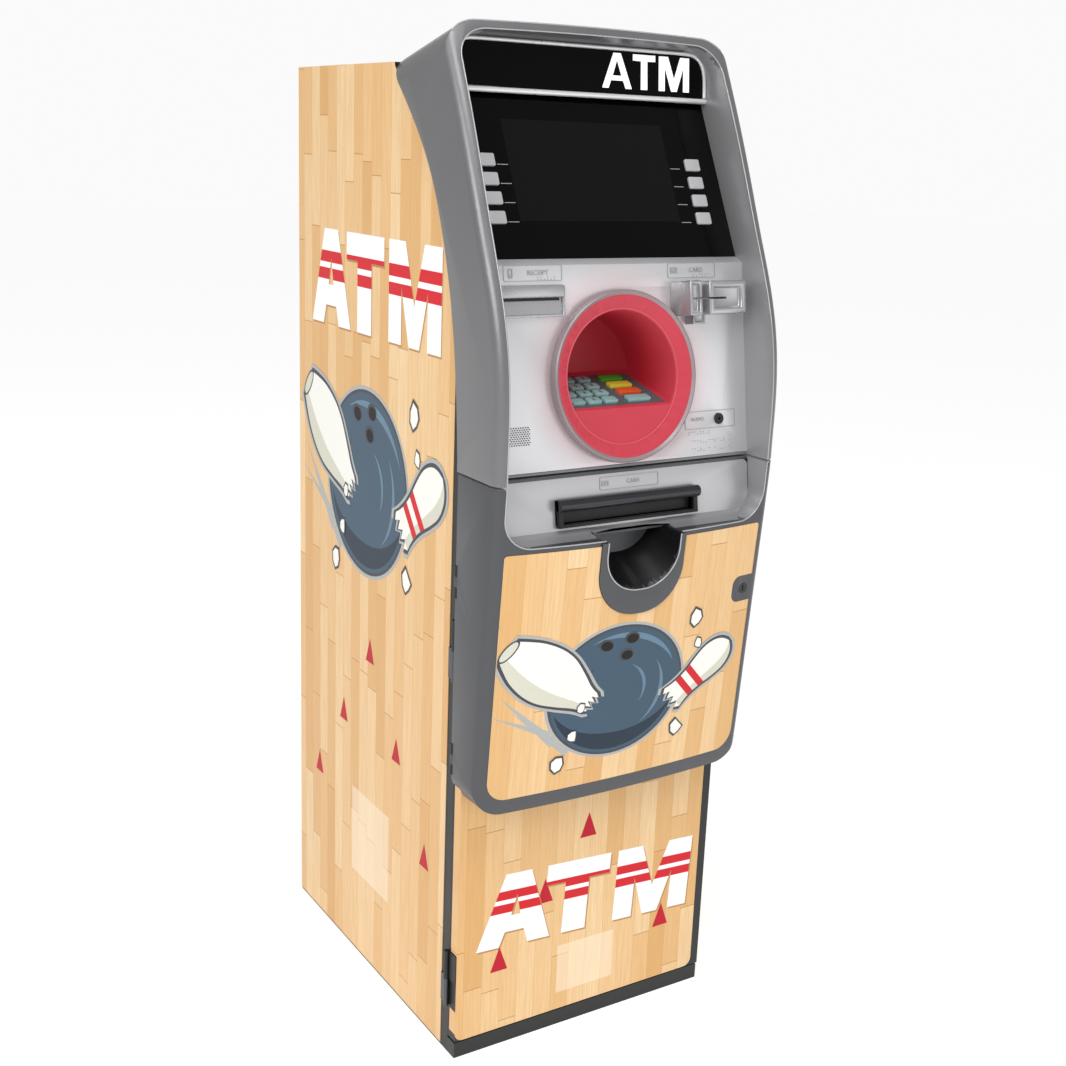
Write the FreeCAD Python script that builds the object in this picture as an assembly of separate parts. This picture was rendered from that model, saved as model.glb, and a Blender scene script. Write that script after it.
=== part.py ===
import FreeCAD, Part

import math
import os

from FreeCAD import Placement, Rotation, Vector

# A free-standing cash machine. Millimetres, +Z up, +X right, -Y towards the customer.
# The origin is on the floor, at the centre of the four anchor bolts in the safe floor.
# Every value below can be changed by itself; what fits to it is worked out from it.

# Cabinet and safe
cabinet_width = 400.0
cabinet_back = 235.0
cabinet_top = 1252.0
jamb_front = -249.0
safe_height = 775.0
safe_wall = 5.0
safe_floor = 6.0
sheet = 2.0
skin = 0.8
skin_seat = 0.12
wrap_front = -230.0
tuck = 8.0
tuck_top = 1222.0
edge_gap = 0.8
anchor_spacing_x = 260.0
anchor_spacing_y = 300.0
anchor_hole_radius = 7.0
toe_height = 22.0

# Safe door
door_thickness = 20.0
door_bottom = 25.0
door_top = 690.0
door_gap = 0.5
door_pan = 8.0
opening_half = 170.0
opening_bottom = 60.0
bare_strip = 14.0

# Fascia shells
fascia_overhang = 6.0
wall = 3.0
seam = 782.0
seam_gap = 3.0
fascia_bottom = 362.0
fascia_back = -253.0
corner_radius = 14.0
bottom_corner = 40.0
top_corner = 44.0
top_front = (-202.0, 1300.0)
top_slope = 0.26

# Recess and the flat panels at its back, as (y, z) of their upper and lower edges
recess_inset = 18.0
recess_floor = 708.0
recess_corner = 38.0
sign_top = (-168.0, 1281.0)
sign_bottom = (-173.0, 1226.0)
glass_top = (-166.0, 1218.0)
glass_bottom = (-254.0, 1032.0)
panel_top = (-267.0, 1026.0)
panel_bottom = (-304.0, seam)
panel_sheet = 3.0
glass_sheet = 4.0
seat = 3.5

# Key pad and its round hood
ring_height = 893.0
ring_radius = 100.0
ring_lip = 9.0
hood_radius = 80.0
hood_depth = 104.0
hood_wall = 3.0
pad_front = (-287.0, 857.0)
pad_rise = 13.6
pad_half = 70.0
pad_depth = 92.0
pad_plate = 3.0
pad_case = 17.0
key_columns = ((-54.0, 19.0), (-30.0, 19.0), (-6.0, 19.0), (36.0, 34.0))
key_rows = (14.0, 35.0, 56.0, 77.0)
key_depth = 14.0
key_rise = 3.0
key_travel = 2.0
side_key_x = 151.0
side_key_width = 22.0
side_key_height = 15.5
side_key_pitch = 23.7
side_key_first = 84.0
side_key_rise = 2.5
side_key_travel = 1.5
key_gap = 0.5
key_flange = 2.0

# Screen
lcd_half = 118.0
lcd_height = 128.0
lcd_depth = 14.0
lcd_drop = 31.0

# Devices on the control panel, by their centre on the panel
receipt_x = -128.0
receipt_z = 985.0
receipt_width = 92.0
receipt_height = 38.0
reader_left = 75.0
reader_right = 172.0
reader_z = 982.0
reader_height = 44.0
reader_rise = 30.0
reader_channel = 106.0
reader_gap = 7.0
card_width = 56.0
card_slot = 2.4
jack_x = 146.0
jack_z = 833.0
jack_radius = 1.8
jack_depth = 14.0
speaker_x = -155.0

# Cash slot, shutter and tray
slot_half = 97.0
slot_bottom = 728.0
slot_top = 745.0
slot_frame = 8.0
shutter_sheet = 2.0
shutter_travel = 17.0
tray_half = 54.0
tray_bottom = 617.0
tray_rim = 9.0
tray_proud = 2.5
tray_back = -291.0
tray_climb = 56.0

# Lock, dial, handle and bolts
lock_x = 176.0
lock_z = 614.0
lock_radius = 7.0
running = 0.05
dial_x = 100.0
dial_z = 560.0
dial_radius = 32.0
handle_z = 470.0
handle_reach = 66.0
spindle_radius = 7.0
bolt_heights = (200.0, 380.0, 540.0)
bolt_radius = 7.0
bolt_plane = -233.0
bolt_throw = 16.0
cover_left = -60.0
cover_right = 160.0
cover_bottom = 120.0
cover_top = 640.0
cover_depth = 33.0

# Hinges: the safe door, the lower fascia on it, and the upper fascia
door_axis = (-cabinet_width / 2 - 3.0, jamb_front + 1.0)
door_knuckle = 3.4
door_pin = 1.6
door_hinges = ((70.0, 150.0), (520.0, 600.0))
fascia_axis = (-cabinet_width / 2 - fascia_overhang + 1.5, fascia_back + 0.5)
fascia_knuckle = 2.6
fascia_pin = 1.2
fascia_hinges = ((400.0, 440.0), (630.0, 670.0))
hood_axis = (-66.0, cabinet_top + 5.0)
hood_knuckle = 4.0
hood_pin = 2.0
hood_hinges = (-140.0, 140.0)
knuckle_gap = 0.3

# Dispenser, cassette and rollers
frame_half = 105.0
frame_sheet = 3.0
frame_front = -200.0
frame_back = 120.0
frame_top = 762.0
nozzle_end = -298.0
nozzle_half = 92.0
nozzle_bottom = 729.0
nozzle_height = 24.0
cassette_half = 92.0
cassette_height = 137.0
cassette_floor = 60.0
gear_teeth = 18
gear_module = 2.0
gear_width = 7.0
shaft_radius = 6.0
roller_half = 80.0
roller_y = -150.0
roller_z = 610.0
roller_gap = 0.3

# Receipt printer, paper and computer
printer_left = -188.0
printer_right = -92.0
printer_front = -246.0
printer_head_reach = 12.0
printer_back = -40.0
printer_height = 228.0
paper_radius = 38.0
paper_width = 80.0
paper_y = -100.0
paper_z = 905.0
spool_radius = 8.0
computer_size = (150.0, 170.0, 310.0)
computer_corner = (38.0, 20.0)
computer_sheet = 1.5

half = cabinet_width / 2
steel_half = half - skin
fascia_half = half + fascia_overhang
door_front = jamb_front - door_gap - door_thickness
upper_bottom = seam + seam_gap
far_front = -420.0


# Basic solids
def box(x0, x1, y0, y1, z0, z1):
    return Part.makeBox(x1 - x0, y1 - y0, z1 - z0, Vector(x0, y0, z0))


def mirrored_box(x0, x1, y0, y1, z0, z1):
    return box(-x1, -x0, y0, y1, z0, z1), box(x0, x1, y0, y1, z0, z1)


def bar_x(x0, x1, y, z, radius):
    return Part.makeCylinder(radius, x1 - x0, Vector(x0, y, z), Vector(1, 0, 0))


def bar_y(x, y0, y1, z, radius):
    return Part.makeCylinder(radius, y1 - y0, Vector(x, y0, z), Vector(0, 1, 0))


def bar_z(x, y, z0, z1, radius):
    return Part.makeCylinder(radius, z1 - z0, Vector(x, y, z0), Vector(0, 0, 1))


def placed(shape, placement):
    copy = shape.copy()
    copy.Placement = placement.multiply(copy.Placement)
    return copy


def side_prism(edges, x_half):
    """Extrude closed edges drawn in the Y-Z plane from -x_half to +x_half."""
    face = Part.Face(Part.Wire(edges))
    face.translate(Vector(-x_half, 0, 0))
    return face.extrude(Vector(2 * x_half, 0, 0))


def side_polygon(points, x_half):
    corners = [Vector(0, y, z) for y, z in points]
    return side_prism(Part.makePolygon(corners + corners[:1]).Edges, x_half)


def rounded_rectangle(width_half, low, high, low_radius, high_radius):
    """A closed wire in local X-Y, with its own radius at the lower and the upper corners."""
    def corner(x_sign, y_sign, y, radius):
        centre = Vector(x_sign * (width_half - radius), y - y_sign * radius, 0)
        reach = radius * math.sqrt(0.5)
        side = centre + Vector(x_sign * radius, 0, 0)
        end = centre + Vector(0, y_sign * radius, 0)
        middle = centre + Vector(x_sign * reach, y_sign * reach, 0)
        return side, middle, end

    low_right = corner(1, -1, low, low_radius)
    high_right = corner(1, 1, high, high_radius)
    high_left = corner(-1, 1, high, high_radius)
    low_left = corner(-1, -1, low, low_radius)
    edges = [
        Part.LineSegment(low_left[2], low_right[2]).toShape(),
        Part.Arc(low_right[2], low_right[1], low_right[0]).toShape(),
        Part.LineSegment(low_right[0], high_right[0]).toShape(),
        Part.Arc(high_right[0], high_right[1], high_right[2]).toShape(),
        Part.LineSegment(high_right[2], high_left[2]).toShape(),
        Part.Arc(high_left[2], high_left[1], high_left[0]).toShape(),
        Part.LineSegment(high_left[0], low_left[0]).toShape(),
        Part.Arc(low_left[0], low_left[1], low_left[2]).toShape(),
    ]
    return Part.Wire(edges)


def upright(wire, y):
    """Stand a wire drawn in local X-Y upright in the X-Z plane at the given y."""
    return placed(wire, Placement(Vector(0, y, 0), Rotation(Vector(1, 0, 0), 90)))


def front_prism(wire, y0, y1):
    return Part.Face(upright(wire, y0)).extrude(Vector(0, y1 - y0, 0))


def round_block(width, height, low, high, radius, centre_x=0.0, centre_y=0.0):
    """A block with round corners in local X-Y, from height low to high along local Z."""
    wire = rounded_rectangle(width / 2, -height / 2, height / 2, radius, radius)
    wire.translate(Vector(centre_x, centre_y, low))
    return Part.Face(wire).extrude(Vector(0, 0, high - low))


def fuse(first, *others):
    return first.fuse(list(others)).removeSplitter()


def save(name, *solids):
    shape = solids[0] if len(solids) == 1 else Part.makeCompound(list(solids))
    shape.exportStep("parts/" + name + ".step")
    print(name, len(shape.Solids), shape.isValid(), round(shape.Volume / 1000.0, 1))


# Sloped surfaces: local X is across, local Y runs up the surface, local Z points out of it
def surface(lower, upper):
    tilt = math.degrees(math.atan2(upper[0] - lower[0], upper[1] - lower[1]))
    return Placement(Vector(0, lower[0], lower[1]), Rotation(Vector(1, 0, 0), 90 - tilt))


def surface_length(lower, upper):
    return math.hypot(upper[0] - lower[0], upper[1] - lower[1])


panel_place = surface(panel_bottom, panel_top)
panel_length = surface_length(panel_bottom, panel_top)
glass_place = surface(glass_bottom, glass_top)
glass_length = surface_length(glass_bottom, glass_top)
sign_place = surface(sign_bottom, sign_top)
sign_length = surface_length(sign_bottom, sign_top)
pad_place = Placement(Vector(0, *pad_front), Rotation(Vector(1, 0, 0), pad_rise))
panel_lean = (panel_top[0] - panel_bottom[0]) / (panel_top[1] - panel_bottom[1])
dispense_top = (panel_bottom[0], seam)


def on_panel(height):
    """Distance up the control panel of a point at the given height above the floor."""
    return (height - panel_bottom[1]) * panel_length / (panel_top[1] - panel_bottom[1])


def panel_y(height):
    return panel_bottom[0] + panel_lean * (height - panel_bottom[1])


dispense_bottom = (panel_y(recess_floor), recess_floor)
dispense_place = surface(dispense_bottom, dispense_top)


# Fascia forms: a bowed front that leans, with round upright edges
lower_sections = (
    (fascia_bottom, -308.0, 11.0),
    (480.0, -318.0, 13.0),
    (600.0, -327.0, 15.0),
    (700.0, -335.0, 16.0),
    (seam, -341.0, 14.0),
)
upper_sections = (
    (upper_bottom, -341.0, 14.0),
    (890.0, -340.0, 13.0),
    (960.0, -328.0, 12.0),
    (1060.0, -290.0, 12.0),
    (1150.0, -253.0, 12.0),
    (1230.0, -217.0, 12.0),
    (1340.0, -166.0, 12.0),
)
rear_curve = ((-250.0, 800.0), (-244.0, 869.0), (-230.0, 961.0), (-203.0, 1054.0),
              (-165.0, 1133.0), (-107.0, 1203.0), (-61.0, 1247.0))


def bow(x, crown, width_half):
    return crown * (1 - (x / width_half) ** 2)


def plan_outline(z, front, crown, inset, back):
    """The fascia's outline at height z: round front corners and a bowed front."""
    width_half = fascia_half - inset
    front = front + inset
    radius = corner_radius - inset * 0.5
    inner = width_half - radius
    step = bow(inner, crown, width_half)
    reach = math.sqrt(0.5)

    def point(x, y):
        return Vector(x, y, z)

    def corner(sign):
        side = point(sign * width_half, front + radius)
        middle = point(sign * (inner + radius * reach), front + radius - (radius + step) * reach)
        end = point(sign * inner, front - step)
        return side, middle, end

    left = corner(-1)
    right = corner(1)
    edges = [
        Part.LineSegment(point(-width_half, back), left[0]).toShape(),
        Part.Arc(*left).toShape(),
        Part.Arc(left[2], point(0, front - crown), right[2]).toShape(),
        Part.Arc(*reversed(right)).toShape(),
        Part.LineSegment(right[0], point(width_half, back)).toShape(),
        Part.LineSegment(point(width_half, back), point(-width_half, back)).toShape(),
    ]
    return Part.Wire(edges)


def bowed_body(sections, inset, back, bottom, top):
    wires = [plan_outline(z, front, crown, inset, back) for z, front, crown in sections]
    body = Part.makeLoft(wires, True, False)
    return body.common(box(-half * 2, half * 2, far_front, back + 1, bottom, top))


def top_height(y, drop=0.0):
    return top_front[1] - (y - top_front[0]) * top_slope - drop


def rear_spline(shift):
    curve = Part.BSplineCurve()
    curve.interpolate([Vector(0, y + shift, z) for y, z in rear_curve])
    return curve.toShape()


def upper_profile():
    """Side view of the upper fascia, open-ended towards the front."""
    start = Vector(0, rear_curve[0][0], upper_bottom)
    low = Vector(0, *rear_curve[0])
    high = Vector(0, *rear_curve[-1])
    shoulder_y = high.y - 12.0
    shoulder = Vector(0, shoulder_y, top_height(shoulder_y))
    middle = Vector(0, high.y - 2.0, (high.z + shoulder.z) / 2 + 3.0)
    front_high = Vector(0, far_front, top_height(far_front))
    front_low = Vector(0, far_front, upper_bottom)
    return [
        Part.LineSegment(start, low).toShape(),
        rear_spline(0.0),
        Part.Arc(high, middle, shoulder).toShape(),
        Part.LineSegment(shoulder, front_high).toShape(),
        Part.LineSegment(front_high, front_low).toShape(),
        Part.LineSegment(front_low, start).toShape(),
    ]


def sloped_top_cut(inset):
    """Front view of the upper fascia with round upper corners, run back along the top's slope."""
    high = top_height(far_front, inset)
    wire = rounded_rectangle(fascia_half - inset, high - 900.0, high, 5.0, top_corner - inset)
    run = 420.0
    return Part.Face(upright(wire, far_front)).extrude(Vector(0, run, -run * top_slope))


def bottom_cut(inset):
    """Front view of the lower fascia with round lower corners."""
    wire = rounded_rectangle(fascia_half - inset, fascia_bottom + inset, seam + 50.0,
                             bottom_corner - inset, 5.0)
    return front_prism(wire, far_front, cabinet_back)


def recess_outline(y, grow):
    taper = (sign_top[0] - y) * 0.025
    ceiling = sign_top[1] + (sign_top[0] - y) * top_slope
    return upright(rounded_rectangle(fascia_half - recess_inset + taper + grow, recess_floor - grow,
                                     ceiling + grow, recess_corner + grow, recess_corner + grow), y)


def recess_body(grow):
    """The customer recess, down to the faces of the panels; grow thickens it to its lining."""
    loft = Part.makeLoft([recess_outline(far_front, grow), recess_outline(-120.0, grow)], True, True)
    high_front = sign_top[1] + (sign_top[0] - far_front) * top_slope + grow
    low = recess_floor - grow
    profile = (
        (far_front, high_front), (sign_top[0], sign_top[1] + grow), sign_bottom, glass_top,
        glass_bottom, panel_top, panel_bottom, (panel_y(low), low), (far_front, low))
    return loft.common(side_polygon(profile, half * 2))


recess = recess_body(0.0)
lining = recess_body(wall)


# Tray outline: a U that stands open at its top
def tray_outline(grow, top):
    radius = tray_half - 4.0 + grow
    return rounded_rectangle(tray_half + grow, tray_bottom - grow, top, radius, 1.0)


def tray_prism(grow, y0, y1, climb, top):
    wire = upright(tray_outline(grow, top), y0)
    return Part.Face(wire).extrude(Vector(0, y1 - y0, climb))


# Hinge knuckles round an upright pin
def upright_hinge(axis, zones, radius, pin, fixed_leaf, moving_leaf, ends):
    """Fixed knuckles with their pin, and moving knuckles, for each zone of the hinge."""
    fixed, moving = [], []
    for low, high in zones:
        cuts = [low + (high - low) * share for share in ends]
        pieces = list(zip(cuts[:-1], cuts[1:]))
        rod = bar_z(axis[0], axis[1], low, high, pin)
        for index, (start, stop) in enumerate(pieces):
            start = start + (knuckle_gap / 2 if index else 0)
            stop = stop - (knuckle_gap / 2 if index < len(pieces) - 1 else 0)
            knuckle = bar_z(axis[0], axis[1], start, stop, radius)
            if index % 2 == 0:
                rod = rod.fuse([knuckle, fixed_leaf(start, stop)])
            else:
                bore = bar_z(axis[0], axis[1], start - 1, stop + 1, pin + running)
                moving.append(knuckle.fuse(moving_leaf(start, stop)).cut(bore))
        fixed.append(rod.removeSplitter())
    return fixed, moving


def cabinet_leaf(start, stop):
    return box(-steel_half - 2.0, -steel_half, door_axis[1] + 1.0, wrap_front - 1.0, start, stop)


def door_leaf(start, stop):
    return box(-steel_half - 2.0, -steel_half + 1.0, door_front + skin, jamb_front - door_gap, start, stop)


def fascia_leaf(start, stop):
    leaf = box(-steel_half - 2.0, -steel_half + 1.0, door_front + skin, fascia_axis[1], start, stop)
    return leaf.fuse(box(fascia_axis[0], -steel_half, fascia_axis[1] - 1.6, fascia_axis[1] + 0.2,
                         start, stop))


def wall_leaf(start, stop):
    return box(-fascia_half, -fascia_half + wall, fascia_axis[1] - 12.0, fascia_axis[1] - 0.2, start, stop)


# Cabinet body
def make_safe():
    low, high = jamb_front, cabinet_back
    shell = box(-steel_half, steel_half, low, high, 0, safe_height)
    inside = box(-steel_half + safe_wall, steel_half - safe_wall, low + safe_wall, high - safe_wall,
                 safe_floor, safe_height - safe_wall)
    mouth = box(-opening_half, opening_half, low - 1, low + safe_wall + 1, opening_bottom, door_top)
    window = box(-nozzle_half - 5, nozzle_half + 5, low - 1, low + safe_wall + 1,
                 nozzle_bottom - 5, nozzle_bottom + nozzle_height + 5)
    body = shell.cut([inside, mouth, window])
    for x in (-anchor_spacing_x / 2, anchor_spacing_x / 2):
        for y in (-anchor_spacing_y / 2, anchor_spacing_y / 2):
            body = body.cut(bar_z(x, y, -1, safe_floor + 1, anchor_hole_radius))
    cable_way = bar_z(150.0, 190.0, safe_height - safe_wall - 1, safe_height + 1, 15.0)
    save("safe_body", body.cut(cable_way))


def cabinet_form(overlap, front_limit, bottom):
    """The cabinet above the safe. It tucks under the fascia's rear edge, and stops short of it
    where the fascia's top corners curve in."""
    tucked = cabinet_side(-overlap, front_limit, bottom, tuck_top)
    clear = cabinet_side(edge_gap, front_limit, tuck_top, cabinet_top)
    return tucked.fuse(clear).removeSplitter()


def cabinet_side(shift, front_limit, bottom, top):
    """A slice of the cabinet whose front edge follows the fascia's rear curve, moved by shift."""
    blank = side_polygon(((front_limit, bottom), (cabinet_back, bottom), (cabinet_back, top),
                          (front_limit, top)), half * 2)
    first = Vector(0, rear_curve[0][0] + shift, rear_curve[0][1])
    last = Vector(0, rear_curve[-1][0] + shift, rear_curve[-1][1])
    above = Vector(0, last.y + 3.0, cabinet_top + 20.0)
    back_high = Vector(0, cabinet_back + 10.0, cabinet_top + 20.0)
    back_low = Vector(0, cabinet_back + 10.0, bottom - 10.0)
    front_low = Vector(0, first.y, bottom - 10.0)
    edges = [
        Part.LineSegment(front_low, first).toShape(),
        rear_spline(shift),
        Part.LineSegment(last, above).toShape(),
        Part.LineSegment(above, back_high).toShape(),
        Part.LineSegment(back_high, back_low).toShape(),
        Part.LineSegment(back_low, front_low).toShape(),
    ]
    return blank.common(side_prism(edges, half * 2))


def make_upper_cabinet():
    form = cabinet_form(tuck, jamb_front, safe_height)
    shell = form.common(box(-steel_half, steel_half, far_front, cabinet_back, 0, cabinet_top))
    inside = box(-steel_half + sheet, steel_half - sheet, far_front, cabinet_back + 1,
                 safe_height - 1, cabinet_top - sheet)
    shell = shell.cut(inside)
    tongue = box(-half + 20.0, half - 20.0, hood_axis[0] - 30.0, hood_axis[0] + 30.0,
                 cabinet_top - sheet, cabinet_top)
    low_flange = box(-steel_half + sheet, steel_half - sheet, cabinet_back - 20.0,
                     cabinet_back - sheet, safe_height, safe_height + sheet)
    rear_posts = mirrored_box(steel_half - 14.0, steel_half - sheet, cabinet_back - 2 * sheet,
                              cabinet_back - sheet, safe_height, cabinet_top - sheet)
    save("upper_cabinet", fuse(shell, tongue, low_flange, *rear_posts))


def make_rear_panel():
    edge = steel_half - sheet - 0.3
    low, high = safe_height + 0.3, cabinet_top - sheet - 0.3
    plate = box(-edge, edge, cabinet_back - sheet, cabinet_back, low, high)
    slots = [box(x - 35, x + 35, cabinet_back - sheet - 1, cabinet_back + 1, z, z + 5)
             for x in (-90.0, 90.0) for z in [high - 60 - 14 * step for step in range(8)]]
    gland = bar_y(120.0, cabinet_back - 12, cabinet_back + 6.0, low + 45, 16.0)
    bore = bar_y(120.0, cabinet_back - 15, cabinet_back + 9.0, low + 45, 9.0)
    lock = bar_y(0.0, cabinet_back - 14, cabinet_back + 4.0, high - 30, 10.0)
    save("rear_panel", fuse(plate.cut(slots), gland, lock).cut(bore))


def make_base_plinth():
    low_front = door_front + 3.0
    front = box(-steel_half, steel_half, low_front, low_front + 4.0, 0, toe_height)
    returns = mirrored_box(steel_half - 4.0, steel_half, low_front, jamb_front, 0, toe_height)
    save("base_plinth", fuse(front, *returns))


def make_side_wraps():
    low_form = box(-half, half, wrap_front, cabinet_back, 3.0, safe_height)
    high_form = cabinet_form(tuck - 3.0, wrap_front, safe_height)
    form = low_form.fuse(high_form).removeSplitter()
    left = form.common(box(-half, -steel_half, far_front, cabinet_back, 0, cabinet_top))
    right = form.common(box(steel_half, half, far_front, cabinet_back, 0, cabinet_top))
    save("side_wraps", left.removeSplitter(), right.removeSplitter())


# Safe door and its boltwork
def make_safe_door(fascia_fixed, door_moving):
    plate = box(-steel_half, steel_half, door_front + skin, jamb_front - door_gap,
                door_bottom, door_top)
    pan = box(-steel_half + door_pan, steel_half - door_pan, jamb_front - door_gap - door_pan, jamb_front,
              door_bottom + door_pan, door_top - door_pan)
    door = plate.cut(pan).fuse(door_moving + fascia_fixed)
    holes = [
        bar_y(dial_x, door_front - 5, jamb_front + 5, dial_z, 4.0 + running),
        bar_y(dial_x, door_front - 5, jamb_front + 5, handle_z, spindle_radius + running),
    ]
    save("safe_door", door.cut(holes).removeSplitter())


def make_door_wrap():
    wire = rounded_rectangle((2 * half - bare_strip) / 2, door_bottom + 1.0, door_top, 12.0, 2.0)
    wire.translate(Vector(-bare_strip / 2, 0, 0))
    front = front_prism(wire, door_front, door_front + skin)
    side = box(-half, -steel_half, door_front, jamb_front - 5.0, door_bottom + 12.0, door_top - 2.0)
    cuts = [box(-half - 3, -steel_half + 1, door_front + skin - 0.4, jamb_front, low - 1, high + 1)
            for low, high in door_hinges + fascia_hinges]
    cuts.append(bar_y(dial_x, door_front - 1, door_front + 2, dial_z, 5.0))
    cuts.append(bar_y(dial_x, door_front - 1, door_front + 2, handle_z, spindle_radius + 1.0))
    wrap = front.fuse(side).cut(cuts).removeSplitter()
    save("safe_door_wrap", wrap)


def make_boltwork_cover():
    front = jamb_front - door_gap - door_pan
    back = jamb_front + cover_depth
    outer = box(cover_left, cover_right, front, back, cover_bottom, cover_top)
    inner = box(cover_left + sheet, cover_right - sheet, front - 1, back - sheet,
                cover_bottom + sheet, cover_top - sheet)
    holes = [bar_x(cover_right - 10, cover_right + 5, bolt_plane, z, bolt_radius + running)
             for z in bolt_heights]
    save("boltwork_cover", outer.cut([inner] + holes))


def make_locking_bolts():
    tie_x = cover_right - 46.0
    tie = box(tie_x, tie_x + 12.0, bolt_plane - 6.0, bolt_plane + 6.0,
              bolt_heights[0] - 12.0, bolt_heights[-1] + 12.0)
    bars = [bar_x(tie_x + 2.0, cover_right + 4.0, bolt_plane, z, bolt_radius) for z in bolt_heights]
    save("locking_bolts", fuse(tie, *bars))


def make_lock_dial():
    face = door_front - 1.0
    grip = bar_y(dial_x, face - 20.0, face - 6.0, dial_z, dial_radius * 0.55)
    flange = bar_y(dial_x, face - 6.0, face, dial_z, dial_radius)
    spindle = bar_y(dial_x, face - 1.0, jamb_front + 3.0, dial_z, 4.0)
    collar = bar_y(dial_x, jamb_front + 1.0, jamb_front + 6.0, dial_z, 11.0)
    save("lock_dial", fuse(grip, flange, spindle, collar))


def make_door_handle():
    face = door_front - 1.0
    hub = bar_y(dial_x, face - 22.0, face, handle_z, 13.0)
    lever = box(dial_x - handle_reach, dial_x, face - 22.0, face - 12.0, handle_z - 8.0, handle_z + 8.0)
    tip = bar_y(dial_x - handle_reach, face - 22.0, face - 12.0, handle_z, 8.0)
    spindle = bar_y(dial_x, face - 1.0, jamb_front + 3.0, handle_z, spindle_radius)
    cam = bar_y(dial_x, jamb_front + 1.0, jamb_front + 6.0, handle_z, 15.0)
    save("door_handle", fuse(hub, lever, tip, spindle, cam))


# Lower fascia
def lower_form(inset):
    body = bowed_body(lower_sections, inset, fascia_back, fascia_bottom + inset, seam - inset)
    return body.common(bottom_cut(inset))


def make_lower_fascia(fascia_moving):
    outer = lower_form(0.0)
    hollow = lower_form(wall).fuse(
        box(-fascia_half + wall, fascia_half - wall, door_front - 1.5, 0, 0, seam - wall))
    funnel = lining.common(outer)
    shell = outer.cut(hollow).fuse(funnel).cut(recess)
    boss = bar_y(lock_x, lock_front() + 1.5, lock_front() + 22.0, lock_z, lock_radius + 4.0)
    shell = shell.fuse(boss.common(lower_form(1.0)))
    shell = shell.cut([
        bar_y(lock_x, far_front, lock_front() + 30.0, lock_z, lock_radius + running),
        tray_prism(wall, far_front, dispense_bottom[0] + 2.3, 0.0, slot_bottom + 10.0),
    ])
    notches = [box(-fascia_half - 1, -fascia_half + wall + 1, fascia_axis[1] - 4.0, 0, low - 0.6, high + 0.6)
               for low, high in fascia_hinges]
    shell = shell.cut(notches).fuse(fascia_moving).removeSplitter()
    save("lower_fascia_shell", shell)
    return outer


def lock_front():
    """Front face of the lower fascia where the key lock sits."""
    return -328.0 - bow(lock_x, 15.0, fascia_half)


def make_lower_wrap(outer):
    forward = outer.copy()
    forward.translate(Vector(0, -skin, 0))
    behind = outer.copy()
    behind.translate(Vector(0, -skin_seat, 0))
    wire = rounded_rectangle(fascia_half - 16.0, fascia_bottom + 20.0, recess_floor - 6.0, 27.0, 4.0)
    area = front_prism(wire, far_front, fascia_back - 20.0)
    tab = front_prism(moved(rounded_rectangle(30.0, lock_z - 18.0, lock_z + 18.0, 12.0, 12.0), lock_x + 10.0),
                      far_front, 0)
    hole = tray_prism(tray_rim, far_front, 0, 0.0, seam)
    wrap = forward.cut(behind).common(area).cut([tab, hole])
    save("lower_fascia_wrap", wrap)


def moved(wire, x):
    wire.translate(Vector(x, 0, 0))
    return wire


def make_cash_tray():
    """A scoop open to the front and the top, with a rim that stands proud of the fascia."""
    front = -380.0
    proud = lower_form(-tray_proud)
    outer = tray_prism(wall - 0.2, front, tray_back + wall, tray_climb, recess_floor + 30.0)
    inner = tray_prism(0.0, front - 10.0, tray_back, tray_climb, recess_floor + 60.0)
    roof_y = panel_y(recess_floor) + 2.5
    limit = box(-half, half, front - 1, roof_y, 0, recess_floor - 2.0).fuse(
        box(-half, half, roof_y - 1, tray_back + wall, 0, recess_floor - 0.4))
    hollow = box(-half, half, front - 12, roof_y, 0, seam).fuse(
        box(-half, half, roof_y - 1, tray_back, 0, recess_floor - 0.4 - wall))
    rim = tray_prism(tray_rim - 0.5, front, -300.0, 0.0, recess_floor - 2.0)
    rim = rim.common(proud.cut(lower_form(0.0)))
    tray = outer.common(limit).common(proud).fuse(rim).cut(inner.common(hollow))
    save("cash_tray", tray.removeSplitter())


def make_dispense_panel():
    length = surface_length(dispense_bottom, dispense_top)
    edge = fascia_half - recess_inset + seat - 0.3
    plate = round_block(2 * edge, length - 2 * wall - 0.6, -panel_sheet, 0, 8.0, 0, length / 2)
    mouth = dispense_local(-slot_half - slot_frame, slot_half + slot_frame, slot_bottom - slot_frame,
                           slot_top + slot_frame, -10, 10)
    save("dispense_panel", placed(plate.cut(mouth), dispense_place))


def dispense_local(x0, x1, low, high, depth0, depth1):
    """A box in the dispense panel's own frame, between two heights above the floor."""
    scale = surface_length(dispense_bottom, dispense_top) / (seam - recess_floor)
    return box(x0, x1, (low - recess_floor) * scale, (high - recess_floor) * scale, depth0, depth1)


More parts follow.
